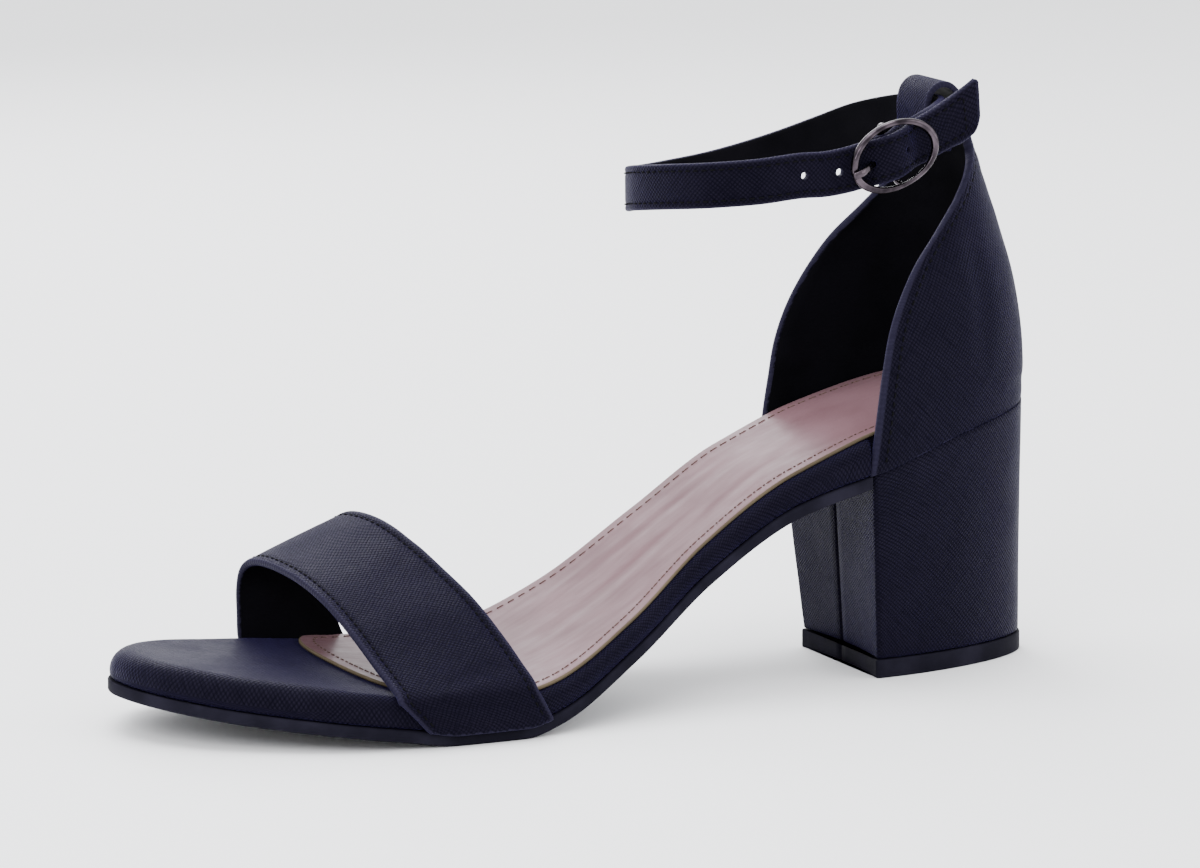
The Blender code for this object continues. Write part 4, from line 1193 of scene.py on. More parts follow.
@dataclass
class Sole:
    """Outsole sheet, wrapped footbed and sock lining."""

    last: Last
    lip: float = 0.5 * MM
    edge_radius: float = 3.2 * MM
    foot_chamfer: float = 0.7 * MM
    toe_roll: float = 2.6 * MM
    toe_roll_end_x: float = -70.0 * MM
    toe_roll_fade: float = 20.0 * MM
    wrap_wave: float = 0.10 * MM
    wrap_wave_length: float = 23 * MM
    sheet_radius: float = 0.45 * MM
    sock: float = 0.8 * MM
    sock_margin: float = 3.0 * MM
    sock_seat_margin: float = 0.7 * MM
    sock_front_x: float = -65.5 * MM
    sock_front_round: float = 11.0 * MM
    seam_inset: float = 3.6 * MM
    seam_points: int = 900
    sock_columns: int = 64
    wall: float = 2.0 * MM
    wall_fit: float = 0.5 * MM
    step_start: float = -0.4 * MM
    step_end: float = 1.2 * MM
    counter_front_x: float = 66.0 * MM
    inner_lead: float = 5.0 * MM
    breast_x: float = 66.6 * MM
    sock_fullness: float = 2.6
    sock_end_points: int = 28
    board_stations: int = 181
    board_columns: int = 28
    sheet_stations: int = 161
    sheet_columns: int = 24
    end_points: int = 12

    def rebate(self, x: Array, side: Side) -> Array:
        """How far the footbed steps in where the closed back wraps it.

        Args:
            x: lengthwise places.
            side: side of the shoe.

        Returns:
            Depth of the step at each place.
        """
        depth = self.wall + self.wall_fit
        start = self.counter_front_x - (self.inner_lead if side is Side.INNER else 0.0)
        return depth * ease(x, start + self.step_start, start + self.step_end)

    def build_outsole(self, finishes: Finishes) -> None:
        """Thin sheet under the footbed, its edge rounded by a quarter turn below and eased above.

        Args:
            finishes: the sandal's finishes.
        """
        last = self.last
        end = self.breast_x - last.gap
        xs = stations(last.toe_x, 2 * end - last.toe_x, 2 * self.sheet_stations - 1)[:self.sheet_stations]
        outer, inner = last.half_width(xs, Side.OUTER), last.half_width(xs, Side.INNER)
        shares = np.linspace(1.0, 0.0, self.end_points + 1)[1:]
        xs = np.concatenate([xs, np.full(self.end_points, end)])
        outer = np.concatenate([outer, outer[-1] * shares])
        inner = np.concatenate([inner, inner[-1] * shares])
        plan = outline_loop(xs, outer, inner)
        free = 1 - ease(plan[:, 0], end - 2 * last.sole, end - SMALL)
        loops = []
        for turn in np.radians([0.0, 30.0, 60.0, 90.0]):
            inset = self.sheet_radius * (1 - math.sin(turn))
            shaped = inset_loop(plan, (inset - self.lip * 0.9) * free)
            low = last.underside(shaped[:, 0]) - last.gap - last.sole
            loops.append(np.column_stack([shaped, low + self.sheet_radius * (1 - math.cos(turn))]))
        for rise in (0.5, 0.86):
            shaped = inset_loop(plan, (0.04 * MM - self.lip * 0.9) * free)
            low = last.underside(shaped[:, 0]) - last.gap - last.sole
            loops.append(np.column_stack([shaped, low + last.sole * rise]))
        shaped = inset_loop(plan, (0.3 * MM - self.lip * 0.9) * free)
        loops.append(np.column_stack([shaped, last.underside(shaped[:, 0]) - last.gap]))
        skin = Skin()
        slab(
            skin, np.array(loops), self.sheet_columns,
            lambda x, _: last.underside(x) - last.gap - last.sole, lambda x, _: last.underside(x) - last.gap,
            (Face.SHOW, Face.SHOW, Face.SHOW), (0, self.end_points),
        )
        show(skin.build("outsole_sheet", [finishes.outsole]), "outsole_rubber", "outsole")

    def build_footbed(self, finishes: Finishes) -> None:
        """Wrapped board: chamfered foot, upright side, and an upper edge rounded by a quarter turn.

        The wrap is drawn over the edge by hand, so its side waves by a tenth of a millimetre.

        Args:
            finishes: the sandal's finishes.
        """
        last = self.last
        inner_step = self.counter_front_x - self.inner_lead
        steps = np.concatenate([
            np.linspace(inner_step + self.step_start, inner_step + self.step_end, 6),
            np.linspace(self.counter_front_x + self.step_start, self.counter_front_x + self.step_end, 6),
        ])
        xs = np.unique(np.concatenate([stations(last.toe_x, last.seat_rear_x, self.board_stations), steps]))
        plan = outline_loop(xs, last.half_width(xs, Side.OUTER), last.half_width(xs, Side.INNER))
        rebate = np.where(
            plan[:, 1] < 0, self.rebate(plan[:, 0], Side.OUTER), self.rebate(plan[:, 0], Side.INNER)
        )
        around = walk(np.concatenate([plan, plan[:1]]))[:-1]
        toe_share = 1 - ease(plan[:, 0], self.toe_roll_end_x - self.toe_roll_fade, self.toe_roll_end_x)
        roll = self.edge_radius + self.toe_roll * toe_share
        loops = []
        for rise, extra in ((0.0, self.foot_chamfer), (0.35 * MM, 0.28 * MM), (self.foot_chamfer, 0.06 * MM)):
            wave = self.wrap_wave * ripple(around, 0.0, self.wrap_wave_length)
            shaped = inset_loop(plan, rebate + extra + wave)
            loops.append(np.column_stack([shaped, last.underside(shaped[:, 0]) + rise]))
        for turn in np.radians(np.linspace(0.0, 90.0, 10)):
            wave = self.wrap_wave * math.cos(turn) * ripple(around, 0.0, self.wrap_wave_length)
            shaped = inset_loop(plan, rebate + roll * (1 - math.cos(turn)) + wave)
            height = last.board_top(shaped[:, 0]) - roll * (1 - math.sin(turn))
            loops.append(np.column_stack([shaped, height]))
        skin = Skin()
        slab(
            skin, np.array(loops), self.board_columns,
            lambda x, _: last.underside(x), lambda x, _: last.board_top(x),
            (Face.SHOW, Face.BACK, Face.SHOW),
        )
        show(skin.build("footbed_wrap", [finishes.hatch_sole, finishes.lining]), "sole_wrap", "footbed")

    def sock_plan(self, extra: float = 0.0) -> Array:
        """Plan loop of the sock, drawn in by an extra amount.

        Args:
            extra: how far it is drawn in.

        Returns:
            Points of the loop.
        """
        last = self.last
        rear = last.seat_rear_x - self.wall - self.wall_fit - self.sock_seat_margin
        front_x = self.sock_front_x
        board = stations(last.toe_x, last.seat_rear_x, self.board_stations)
        front = front_x + self.sock_front_round * np.linspace(0.0, 1.0, self.sock_end_points) ** 2
        back = rear - self.sock_front_round * np.linspace(1.0, 0.0, self.sock_end_points) ** 2
        kept = board[(board > front[-1] + 0.5 * MM) & (board < back[0] - 0.5 * MM)]
        xs = np.concatenate([front, kept, back])
        seat_share = ease(xs, self.counter_front_x - 3 * self.sock_margin, self.counter_front_x)
        margin = self.sock_margin + (self.sock_seat_margin - self.sock_margin) * seat_share
        blunt = np.clip((xs - front_x) / self.sock_front_round, 0.0, 1.0)
        blunt = (1 - (1 - blunt) ** self.sock_fullness) ** (1 / self.sock_fullness)
        reach = (last.seat_rear_x - last.seat_front_x) / (rear - last.seat_front_x)
        at = np.where(xs > last.seat_front_x, last.seat_front_x + (xs - last.seat_front_x) * reach, xs)
        halves = []
        for side in Side:
            set_in = margin + (self.wall + self.wall_fit) * seat_share
            share = 1 - set_in / (last.seat_width / 2)
            seat, board_half = last.seat_half(at) * share, last.half_width(xs, side) - set_in
            halves.append(np.where(xs > last.seat_front_x, seat, board_half) * blunt)
        return inset_loop(outline_loop(xs, *halves), extra)

    def build_sock(self, finishes: Finishes) -> None:
        """Sock lining with a cut edge, and the sewn line inside it with dark beads in its needle holes,
        painted shade that stands for the holes.

        Args:
            finishes: the sandal's finishes.
        """
        last = self.last
        loops = []
        for inset, rise in ((0.0, 0.0), (0.0, 0.55), (0.12 * MM, 0.9), (0.4 * MM, 1.0)):
            plan = self.sock_plan(inset)
            loops.append(np.column_stack([plan, last.board_top(plan[:, 0]) + last.gap + rise * self.sock]))
        skin = Skin()
        slab(
            skin, np.array(loops), self.sock_columns, lambda x, _: last.board_top(x) + last.gap,
            lambda x, y: last.board_top(x) + last.gap + self.sock + creased(SOCK_CREASES, x / MM, y / MM),
            (Face.RIM, Face.BACK, Face.SHOW),
        )
        piece = skin.build("sock_sheet", [finishes.sock, finishes.sock_edge, finishes.sock_edge])
        show(piece, "sock_lining", "insole_sock")
        line = self.sock_plan(self.seam_inset)
        line = np.column_stack([line, last.board_top(line[:, 0]) + last.gap + self.sock])
        line = smooth_path(np.concatenate([line, line[:1]]), self.seam_points)
        step = 0.5 * MM
        slope = (last.board_top(line[:, 0] + step) - last.board_top(line[:, 0] - step)) / (2 * step)
        normals = unit(np.stack([-slope, np.zeros(len(line)), np.ones(len(line))], axis=1))
        thread = Skin()
        SOCK_SEAM.add(thread, line, normals)
        show(thread.build("sock_stitches", [finishes.sock_thread]), "sock_lining")
        # Small dark beads between the stitches: painted shade standing in for the needle holes.
        holes = Skin()
        walked = walk(line)
        count = int(walked[-1] / SOCK_SEAM.pitch)
        between = (walked + walked[-1] / count / 2) % walked[-1]
        places, ways = read_path(line, between, walked), read_path(normals, between, walked)
        NEEDLE_HOLES.add(holes, places[1:-2], ways[1:-2])
        show(holes.build("sock_needle_holes", [finishes.pinhole]), "sock_lining")


@dataclass
class BlockHeel:
    """Wrapped block heel and its top lift."""

    last: Last
    front_x: float = 66.6 * MM
    foot_front_x: float = 70.7 * MM
    foot_rear_x: float = 119.0 * MM
    foot_outer_half: float = 19.9 * MM
    foot_inner_half: float = 22.0 * MM
    corner: float = 1.2 * MM
    foot_fullness: float = 1.85
    seat_fullness: float = 2.6
    hollow: float = 1.6 * MM
    seam_width: float = 1.5 * MM
    seam_depth: float = 0.8 * MM
    seam_foot_y: float = 3.0 * MM
    seam_top_y: float = -3.5 * MM
    wave_rise: float = 60 * MM
    lift: float = 4.6 * MM
    lift_lip: float = 0.4 * MM
    wrap_wave: float = 0.06 * MM
    wrap_wave_length: float = 19 * MM
    rim_share: float = 0.004
    rim_inset: float = 0.25 * MM
    levels: int = 33
    breast_points: int = 14
    side_points: int = 70

    def plan(self, share: float, lip: float = 0.0) -> Array:
        """Plan loop from the foot at 0 to the seat at 1: hollow breast, small corners, superellipse sides.

        Args:
            share: height as a share of the heel.
            lip: how far the loop stands out.

        Returns:
            Points of the loop.
        """
        last = self.last

        def between(foot: float, seat: float) -> float:
            """Value on the straight line from the foot to the seat."""
            return foot + (seat - foot) * share

        front = between(self.foot_front_x, self.front_x) - lip
        rear = between(self.foot_rear_x, last.seat_rear_x) + lip
        halves = (
            between(self.foot_outer_half, last.seat_width / 2) + lip,
            between(self.foot_inner_half, last.seat_width / 2) + lip,
        )
        fullness = between(self.foot_fullness, self.seat_fullness)
        hollow = self.hollow * (1 - share)
        turn = np.linspace(0.0, math.pi / 2, self.side_points)[1:]
        side_x = front + self.corner + (rear - front - self.corner) * np.sin(turn) ** (2 / fullness)
        side_share = np.abs(np.cos(turn)) ** (2 / fullness)
        side_share[-1] = 0.0
        seam_y = between(self.seam_foot_y, self.seam_top_y)
        sides = []
        for half, seam in ((halves[0], -seam_y), (halves[1], seam_y)):
            first = np.array([0.0, 0.18, 0.4, 0.6, 0.8, 1.0]) * self.seam_width / 2
            rest = np.linspace(seam + self.seam_width / 2, half - self.corner, self.breast_points - 4)[1:]
            ys = np.concatenate([seam + first, rest])
            xs = front + hollow * (1 - (ys / half) ** 2)
            xs[:6] += self.seam_depth * (1 - (first / first[-1])) ** 0.7
            bend = np.radians([22.5, 45.0, 67.5, 90.0])
            corner_y = half - self.corner * (1 - np.sin(bend))
            corner_x = front + self.corner * (1 - np.cos(bend))
            ys = np.concatenate([ys, corner_y, half * side_share])
            xs = np.concatenate([xs, corner_x, side_x])
            sides.append(np.stack([xs, ys], axis=1))
        return np.concatenate([sides[0] * (1, -1), sides[1][-2:0:-1]])

    def build(self, finishes: Finishes) -> None:
        """Heel from its foot to the seat, and the lift, a little proud of it.

        Args:
            finishes: the sandal's finishes.
        """
        last = self.last
        foot = self.lift + last.gap
        top = last.underside(self.plan(1.0)[:, 0]) - last.gap
        rim = self.rim_share
        shares = np.concatenate([[0.0, rim], np.linspace(0.0, 1.0, self.levels)[1:-1], [1 - rim, 1.0]])
        loops = []
        for share in shares:
            ends = max(rim - min(share, 1 - share), 0.0) / rim
            plan = inset_loop(self.plan(share), self.rim_inset * ends)
            around = walk(np.concatenate([plan, plan[:1]]))[:-1]
            wave = ripple(around, share * self.wave_rise, self.wrap_wave_length)
            plan = inset_loop(plan, self.wrap_wave * wave)
            loops.append(np.column_stack([plan, foot + (top - foot) * share]))
        front = self.breast_points
        skin = Skin()
        slab(
            skin, np.array(loops), 2 * front, None, None, (Face.SHOW, Face.BACK, Face.BACK), (front, 0)
        )
        show(skin.build("heel_wrap", [finishes.hatch_sole, finishes.lining]), "sole_wrap", "heel_block")
        loops = []
        for inset, height in LIFT_EDGE:
            plan = inset_loop(self.plan(0.0, self.lift_lip), inset * MM)
            loops.append(np.column_stack([plan, np.full(len(plan), height * MM)]))
        skin = Skin()
        slab(skin, np.array(loops), 2 * front, None, None, (Face.SHOW, Face.SHOW, Face.SHOW), (front, 0))
        show(skin.build("lift_block", [finishes.lift]), "top_lift_rubber", "top_lift")


@dataclass
class ClosedBack:
    """Closed back with folded, stitched front edges and the loop for the ankle strap."""

    last: Last
    front_x: float = 66.0 * MM
    reach: float = 52.0 * MM
    height: float = 76.0 * MM
    wall: float = 2.0 * MM
    inner_lead: float = 5.0 * MM
    rear_start: float = 0.155
    loop_wall: float = 1.5 * MM
    loop_width: float = 15.0 * MM
    loop_depth: float = 9.9 * MM
    loop_height: float = 16.4 * MM
    fold_width: float = 2.9 * MM
    fold_step: float = 0.34 * MM
    fold_fade: float = 0.35 * MM
    groove_depth: float = 0.20 * MM
    groove_width: float = 0.5 * MM
    wave_length: float = 47 * MM
    edge_round: float = 0.35
    columns: int = 121
    rows: int = 90
    loop_rows: int = 70

    def rows_at(self, rise: Array, turns: Array) -> Array:
        """Grid of the closed back: each row is a superellipse half between its two front edges.

        Args:
            rise: height of each row's front edges as a share of the back's height.
            turns: half turn from the outer edge to the inner one.

        Returns:
            The grid of points.
        """
        rises = column(COUNTER, COUNTER_COLUMNS, "rise")
        rear_rise = self.rear_start + (1 - self.rear_start) * rise

        def read(name: str, at: Array) -> Array:
            """One column of the table, read along the height, as a column of rows."""
            return through(rises, column(COUNTER, COUNTER_COLUMNS, name), at)[:, None]

        edge = self.front_x + read("edge_reach", rise) * self.reach
        lead = read("inner_lead", rise) * self.inner_lead
        half = read("half_of_seat", rise) * self.last.seat_width
        rear = self.front_x + read("rear_reach", rear_rise) * self.reach
        fullness = read("fullness", rise)
        depth = np.clip(np.cos(turns)[None], 0.0, 1.0) ** (2 / fullness * read("flare", rise))
        depth[:, 0] = depth[:, -1] = 0.0
        side = np.sign(turns)[None] * np.abs(np.sin(turns))[None] ** (2 / fullness)
        front = np.where(turns[None] > 0, edge - lead, edge)
        x = front + (rear - front) * depth
        base = float(self.last.underside(self.front_x))
        z = base + (rise[:, None] + (rear_rise - rise)[:, None] * depth) * self.height
        lean = self.last.underside(x) - (base + self.rear_start * depth * self.height)
        return np.stack([x, side * half, z + lean * (1 - rise[:, None]) ** 4], axis=2)

    def grid(self) -> tuple[Array, Array]:
        """Outer face of the back and the loop, and the wall of each row.

        Returns:
            The grid of points, and a wall for each row.
        """
        share = np.linspace(-1.0, 1.0, self.columns)
        turns = (share * 0.72 + 0.28 * share**5) * math.pi / 2
        rise = np.linspace(0.0, 1.0, self.rows)
        back = self.rows_at(rise, turns)
        top = back[-1]
        centre = top[len(top) // 2]
        bend = np.stack([
            centre[0] - column(LOOP, LOOP_COLUMNS, "of_depth") * self.loop_depth,
            centre[2] + column(LOOP, LOOP_COLUMNS, "of_height") * self.loop_height,
        ], axis=1)
        spine = smooth_path(bend, self.loop_rows)[1:]
        even = np.sin(turns) * self.loop_width / 2
        fade = 1 - ease(np.linspace(0.0, 17.0, self.loop_rows)[1:], 0.0, 5.0)[:, None]
        x = spine[:, :1] + (top[:, 0] - centre[0])[None] * fade
        y = even[None] + (top[:, 1] - even)[None] * fade
        loop = np.stack([x, y, np.broadcast_to(spine[:, 1:], x.shape)], axis=2)
        grid = np.concatenate([back, loop])
        in_loop = ease(np.arange(len(grid)), self.rows, self.rows + 0.25 * self.loop_rows)
        return grid, self.wall + (self.loop_wall - self.wall) * in_loop

    def build(self, finishes: Finishes) -> None:
        """Wall with a raised fold along its front edges, and stitches just inside the fold.

        Args:
            finishes: the sandal's finishes.
        """
        grid, thickness = self.grid()
        lengths = np.stack([walk(row) for row in grid])
        edge = np.minimum(lengths, lengths[:, -1:] - lengths)
        loop_share = ease(np.arange(len(grid)), self.rows - 4, self.rows + 12)[:, None]
        fold, below_loop = self.fold_width, 1 - loop_share
        step = self.fold_step * (1 - ease(edge, fold - self.fold_fade, fold + self.fold_fade)) * below_loop
        groove = -self.groove_depth * np.exp(-(((edge - fold) / self.groove_width) ** 2)) * below_loop
        slow = 0.125 * MM * ripple(lengths, np.arange(len(grid))[:, None] * 0.8 * MM, self.wave_length)
        slow = slow * ease(edge, 2 * MM, 12 * MM) * below_loop
        middle = grid[:, grid.shape[1] // 2]
        place = (lengths - lengths[:, -1:] / 2) / MM
        soft = creased(BACK_CREASES, place, np.broadcast_to(walk(middle)[:, None] / MM, place.shape))
        soft = soft * ease(edge, fold, fold + 2 * MM) * below_loop
        skin = Skin()
        raised = wall(skin, grid, thickness, edge / MM, step + groove + slow + soft, self.edge_round)
        piece = skin.build("closed_back", [finishes.hatch, finishes.lining, finishes.fold])
        show(piece, "upper_leather", "heel_counter")
        normals = grid_normals(raised)
        thread = Skin()
        for flip in (1, -1):
            face, ways, far = raised[:, ::flip], normals[:, ::flip], lengths[:, ::flip]
            walked = np.abs(far - far[:, :1])
            seat = np.arange(2, self.rows + 2)
            line = np.array([
                [np.interp(fold, walked[r], face[r, :, k]) for k in range(3)] for r in seat
            ])
            out = np.array([[np.interp(fold, walked[r], ways[r, :, k]) for k in range(3)] for r in seat])
            BACK_SEAM.add(thread, line, out)
        show(thread.build("closed_back_stitches", [finishes.thread]), "upper_leather")


@dataclass
class ToeStrap:
    """Wide band over the toes with folded and stitched edges."""

    last: Last
    wall: float = 1.8 * MM
    front_height: float = 34.5 * MM
    rear_height: float = 43.4 * MM
    edge_radius: float = 3.2 * MM
    fold_width: float = 1.9 * MM
    groove_depth: float = 0.20 * MM
    groove_width: float = 0.45 * MM
    fold_swell: float = 0.10 * MM
    fold_middle: float = 0.9 * MM
    wave: float = 0.12 * MM
    wave_length: float = 31 * MM
    edge_round: float = 0.32
    middle_rows: int = 34
    columns: int = 200

    def edge_line(self, which: str) -> Array:
        """One long edge: a cubic curve from the outer foot over the arch to the inner foot.

        Args:
            which: front or rear.

        Returns:
            Points of the edge.
        """
        last = self.last
        places = TOE_STRAP_EDGES[which]
        height = self.front_height if which == "front" else self.rear_height
        across = column(ARCH, ARCH_COLUMNS, "across")
        rise = column(ARCH, ARCH_COLUMNS, which + "_rise") * height
        out = last.gap + self.wall
        top_x = last.x_of(places["outer_top"]), last.x_of(places["inner_top"])
        xs = top_x[0] + (top_x[1] - top_x[0]) * across
        left = -(float(last.half_width(top_x[0], Side.OUTER)) + out)
        right = float(last.half_width(top_x[1], Side.INNER)) + out
        arch = np.stack([xs, left + (right - left) * across, rise], axis=1)
        legs = []
        for side, top in ((Side.OUTER, arch[0]), (Side.INNER, arch[-1])):
            foot_x = float(last.x_of(places[side.word + "_foot"]))
            foot = np.array([foot_x, 0.0, float(last.underside(foot_x))])
            leg = np.stack([foot, foot + (top - foot) * 0.5])
            leg[:, 1] = side.value * (last.half_width(leg[:, 0], side) + out)
            legs.append(leg)
        points = np.concatenate([legs[0], arch, legs[1][::-1]])
        at = np.linspace(0, len(points) - 1, self.columns)
        return np.stack([through(np.arange(len(points)), points[:, k], at) for k in range(3)], axis=1)

    def surface(self, share: Array) -> Array:
        """Outer face at shares of the way from the front edge to the rear edge, clear of the board.

        Args:
            share: rows by columns of shares.

        Returns:
            The grid of points.
        """
        last = self.last
        front, rear = self.edge_line("front"), self.edge_line("rear")
        grid = front[None] + (rear - front)[None] * share[..., None]
        out = last.gap + self.wall
        for side in Side:
            sign = side.value
            limit = last.half_width(grid[..., 0], side) + out
            lift = (grid[..., 2] - last.board_top(grid[..., 0])) / self.edge_radius + 1
            rounding = self.edge_radius * (1 - np.sqrt(1 - np.clip(lift, 0.0, 1.0) ** 2))
            need = np.where(lift < 1, limit - rounding, 0.0)
            near = grid[..., 1] * sign > 0
            grid[..., 1] = np.where(near, sign * np.maximum(grid[..., 1] * sign, need), grid[..., 1])
        floor = last.underside(grid[..., 0])
        grid[..., 2] = np.maximum(grid[..., 2], floor)
        grid[:, 0, 2], grid[:, -1, 2] = floor[:, 0], floor[:, -1]
        return grid

    def build(self, finishes: Finishes) -> None:
        """Band with close rows near both edges, so the fold and the sewn groove have their shape.

        Args:
            finishes: the sandal's finishes.
        """
        front, rear = self.edge_line("front"), self.edge_line("rear")
        width = np.linalg.norm(rear - front, axis=1)
        near = np.array(BAND_ROWS_MM) * MM
        head = near[:, None] / width[None]
        share = np.linspace(0.0, 1.0, self.middle_rows)[1:-1, None]
        middle = head[-1] + (1 - 2 * head[-1]) * share
        shares = np.concatenate([head, middle, 1 - head[::-1]])
        grid = self.surface(shares)
        edge = np.minimum(shares, 1 - shares) * width[None]
        fold = self.fold_width
        groove = -self.groove_depth * np.exp(-(((edge - fold) / self.groove_width) ** 2))
        swell = self.fold_swell * np.exp(-(((edge - self.fold_middle) / (0.6 * MM)) ** 2))
        around = np.broadcast_to(walk(front)[None], edge.shape)
        slow = self.wave * ripple(around, shares * 30 * MM, self.wave_length) * ease(edge, 2 * MM, 7 * MM)
        slow = slow + creased(BAND_CREASES, around / MM, shares * width[None] / MM)
        skin = Skin()
        relief = groove + swell + slow
        raised = wall(skin, grid[::-1], self.wall, (edge / MM)[::-1], relief[::-1], self.edge_round)
        piece = skin.build("toe_band", [finishes.hatch, finishes.lining, finishes.fold])
        show(piece, "upper_leather", "toe_strap")
        raised = raised[::-1]
        normals = -grid_normals(raised)
        thread = Skin()
        sewn = int(np.argmin(np.abs(near - fold)))
        for row in (sewn, len(shares) - 1 - sewn):
            BAND_SEAM.add(thread, raised[row, 3:-3], normals[row, 3:-3])
        show(thread.build("toe_band_stitches", [finishes.thread]), "upper_leather")


@dataclass
class AnkleStrap:
    """Ankle strap with its buckle, prong, holes and stitches."""

    width: float = 11.0 * MM
    thickness: float = 2.0 * MM
    skived: float = 1.1 * MM
    hole: float = 1.9 * MM
    hole_spacing: float = 8.8 * MM
    prong_hole: float = -5.1 * MM
    half_width: float = 28.5 * MM
    ring_front_x: float = 17.7 * MM
    ring_length: float = 76.6 * MM
    front_z: float = 122.0 * MM
    gap: float = 0.3 * MM
    buckle_x: float = 69.8 * MM
    buckle_z: float = 130.4 * MM
    face_offset: float = 2.6 * MM
    half_length: float = 11.1 * MM
    half_height: float = 7.7 * MM
    wire: float = 0.95 * MM
    bar: float = 0.75 * MM
    bar_recess: float = 3.6 * MM
    bar_trim: int = 4
    prong: float = 0.65 * MM
    tongue: tuple[float, float] = (0.55 * MM, 0.85 * MM)
    tilt: float = math.radians(19.0)
    fold_outer_along: float = 3.8 * MM
    fold_outer_drop: float = 2.1 * MM
    tip_slant: float = 3.4 * MM
    tip_reach: float = 1.6 * MM
    tip_upper_corner: float = 1.3 * MM
    tip_lower_corner: float = 3.0 * MM
    seam_inset: float = 1.75 * MM
    fold_rows: int = 70
    ring_rows: int = 300
    fine_points: int = 2400
    open_holes: tuple[int, ...] = (-2, -1, 1)
    cut_weld: float = 2e-6
    frame_points: int = 160
    bar_points: int = 80
    prong_points: int = 90

    def axes(self) -> tuple[Array, Array, Array, Array]:
        """Buckle centre, and its directions along the strap, up across it and out of it.

        Returns:
            The centre and the three directions.
        """
        along = np.array([math.cos(self.tilt), 0.0, math.sin(self.tilt)])
        up = np.array([-math.sin(self.tilt), 0.0, math.cos(self.tilt)])
        centre = np.array([self.buckle_x, -self.half_width - self.face_offset, self.buckle_z])
        return centre, along, up, np.array([0.0, -1.0, 0.0])

    def path(self) -> tuple[Array, int]:
        """Points of the middle line from the fold on the bar to the free tip, and where the ring starts.

        Returns:
            The points, and the index of the ring's first one.
        """
        centre, along, up, out = self.axes()
        bar = centre - out * self.bar_recess
        wrap = self.bar + self.gap + self.skived / 2
        points = [bar + along * a * MM - out * (wrap + b * MM) for a, b in FOLD_INNER_END]
        turns = np.radians(np.arange(90, 271, 30))
        points += list(bar + wrap * (np.outer(np.cos(turns), along) - np.outer(np.sin(turns), out)))
        points.append(bar + along * self.fold_outer_along + out * (wrap - self.fold_outer_drop))
        start = len(points)
        ring = np.stack([
            self.ring_front_x + column(ANKLE, ANKLE_COLUMNS, "along_ring") * self.ring_length,
            column(ANKLE, ANKLE_COLUMNS, "of_half_width") * self.half_width,
            self.front_z + column(ANKLE, ANKLE_COLUMNS, "above_front_mm") * MM,
        ], axis=1)
        free = (
            bar
            + np.outer(column(FREE_END, FREE_END_COLUMNS, "along_mm") * MM, along)
            + np.outer(column(FREE_END, FREE_END_COLUMNS, "out_of_bar_mm") * MM, out)
            + np.outer(column(FREE_END, FREE_END_COLUMNS, "up_mm") * MM, up)
        )
        return np.concatenate([points, ring, free]), start

    def prong_line(self) -> Array:
        """Middle line of the prong: a hook round the bar, out through the hole, and over the rim.

        Returns:
            Points of the line.
        """
        centre, along, _, out = self.axes()
        bar = centre - out * self.bar_recess
        hook = self.bar + self.gap + self.prong
        turns = np.radians(np.arange(150, -91, -30))
        points = list(bar + hook * (np.outer(np.cos(turns), along) - np.outer(np.sin(turns), out)))
        rim = self.wire + self.gap + self.prong
        hole = self.prong_hole
        points.append(bar + along * hole * 0.5 + out * (hook + 0.02 * MM))
        points.append(bar + along * hole * 1.04 + out * (hook + self.prong))
        points.append(bar + along * hole * 1.6 + out * (self.bar_recess + rim * 0.45))
        points.append(centre - along * (self.half_length - self.wire) + out * (rim - 0.02 * MM))
        points.append(centre - along * (self.half_length + self.wire) + out * rim)
        return smooth_path(np.array(points), self.prong_points)

    def tip_lean(self, ups: Array) -> Array:
        """How far the free end reaches at each height: a slant, less a quarter round at each corner.

        Args:
            ups: heights as shares of half the width.

        Returns:
            The reach at each height.
        """
        half = self.width / 2
        lean = self.tip_slant * ups + self.tip_reach
        for sign, corner in ((1, self.tip_upper_corner), (-1, self.tip_lower_corner)):
            into = np.clip((ups * sign * half - (half - corner)) / corner, 0.0, 1.0)
            lean = lean - corner * (1 - np.sqrt(1 - into**2))
        return lean

    def section(self) -> tuple[Array, Array, Array]:
        """Section of the strap as shares of half thickness and half width, closed on itself.

        Returns:
            The shares, the distance from the long edges in millimetres, and which points are outer.
        """
        half = self.width / 2 / MM
        flat = np.array([0.35, 0.7, 1.05, 1.4, 1.75, 2.1, 2.5, 3.4, 4.4]) / half
        ups = np.concatenate([-(1 - flat), [0.0], (1 - flat)[::-1]])
        edge = (1 - np.abs(ups)) * half
        swell = 1.0 - 0.16 * np.exp(-(((edge - 1.75) / 0.5) ** 2)) - 0.30 * np.exp(-((edge / 0.35) ** 2))
        outer = np.stack([swell, ups], axis=1)
        turns = np.linspace(0.35, math.pi - 0.35, 7)
        round_up = np.stack([0.86 * np.cos(turns), (1 - 0.35 / half) + 0.35 / half * np.sin(turns)], axis=1)
        inner = np.stack([np.full(len(ups), -0.94), ups[::-1]], axis=1)
        inner[[0, -1], 0] = -0.84
        round_down = np.stack([round_up[::-1, 0], -round_up[::-1, 1]], axis=1)
        shape = np.concatenate([outer, round_up, inner, round_down, outer[:1]])
        distance = np.clip((1 - np.abs(shape[:, 1])) * half, 0.0, None)
        return shape, distance, shape[:, 0] > -0.5

    def tube(self, name: str, path: Array, radius: float, across: Array) -> bpy.types.Object:
        """Plain tool for cutting: a round bar along a path.

        Args:
            name: the object's name.
            path: middle line.
            radius: the bar's radius.
            across: a direction across the bar.

        Returns:
            The tool.
        """
        skin = Skin()
        rod(skin, path, np.tile(across, (len(path), 1)), np.full(2, radius), 20)
        return skin.build(name, [])

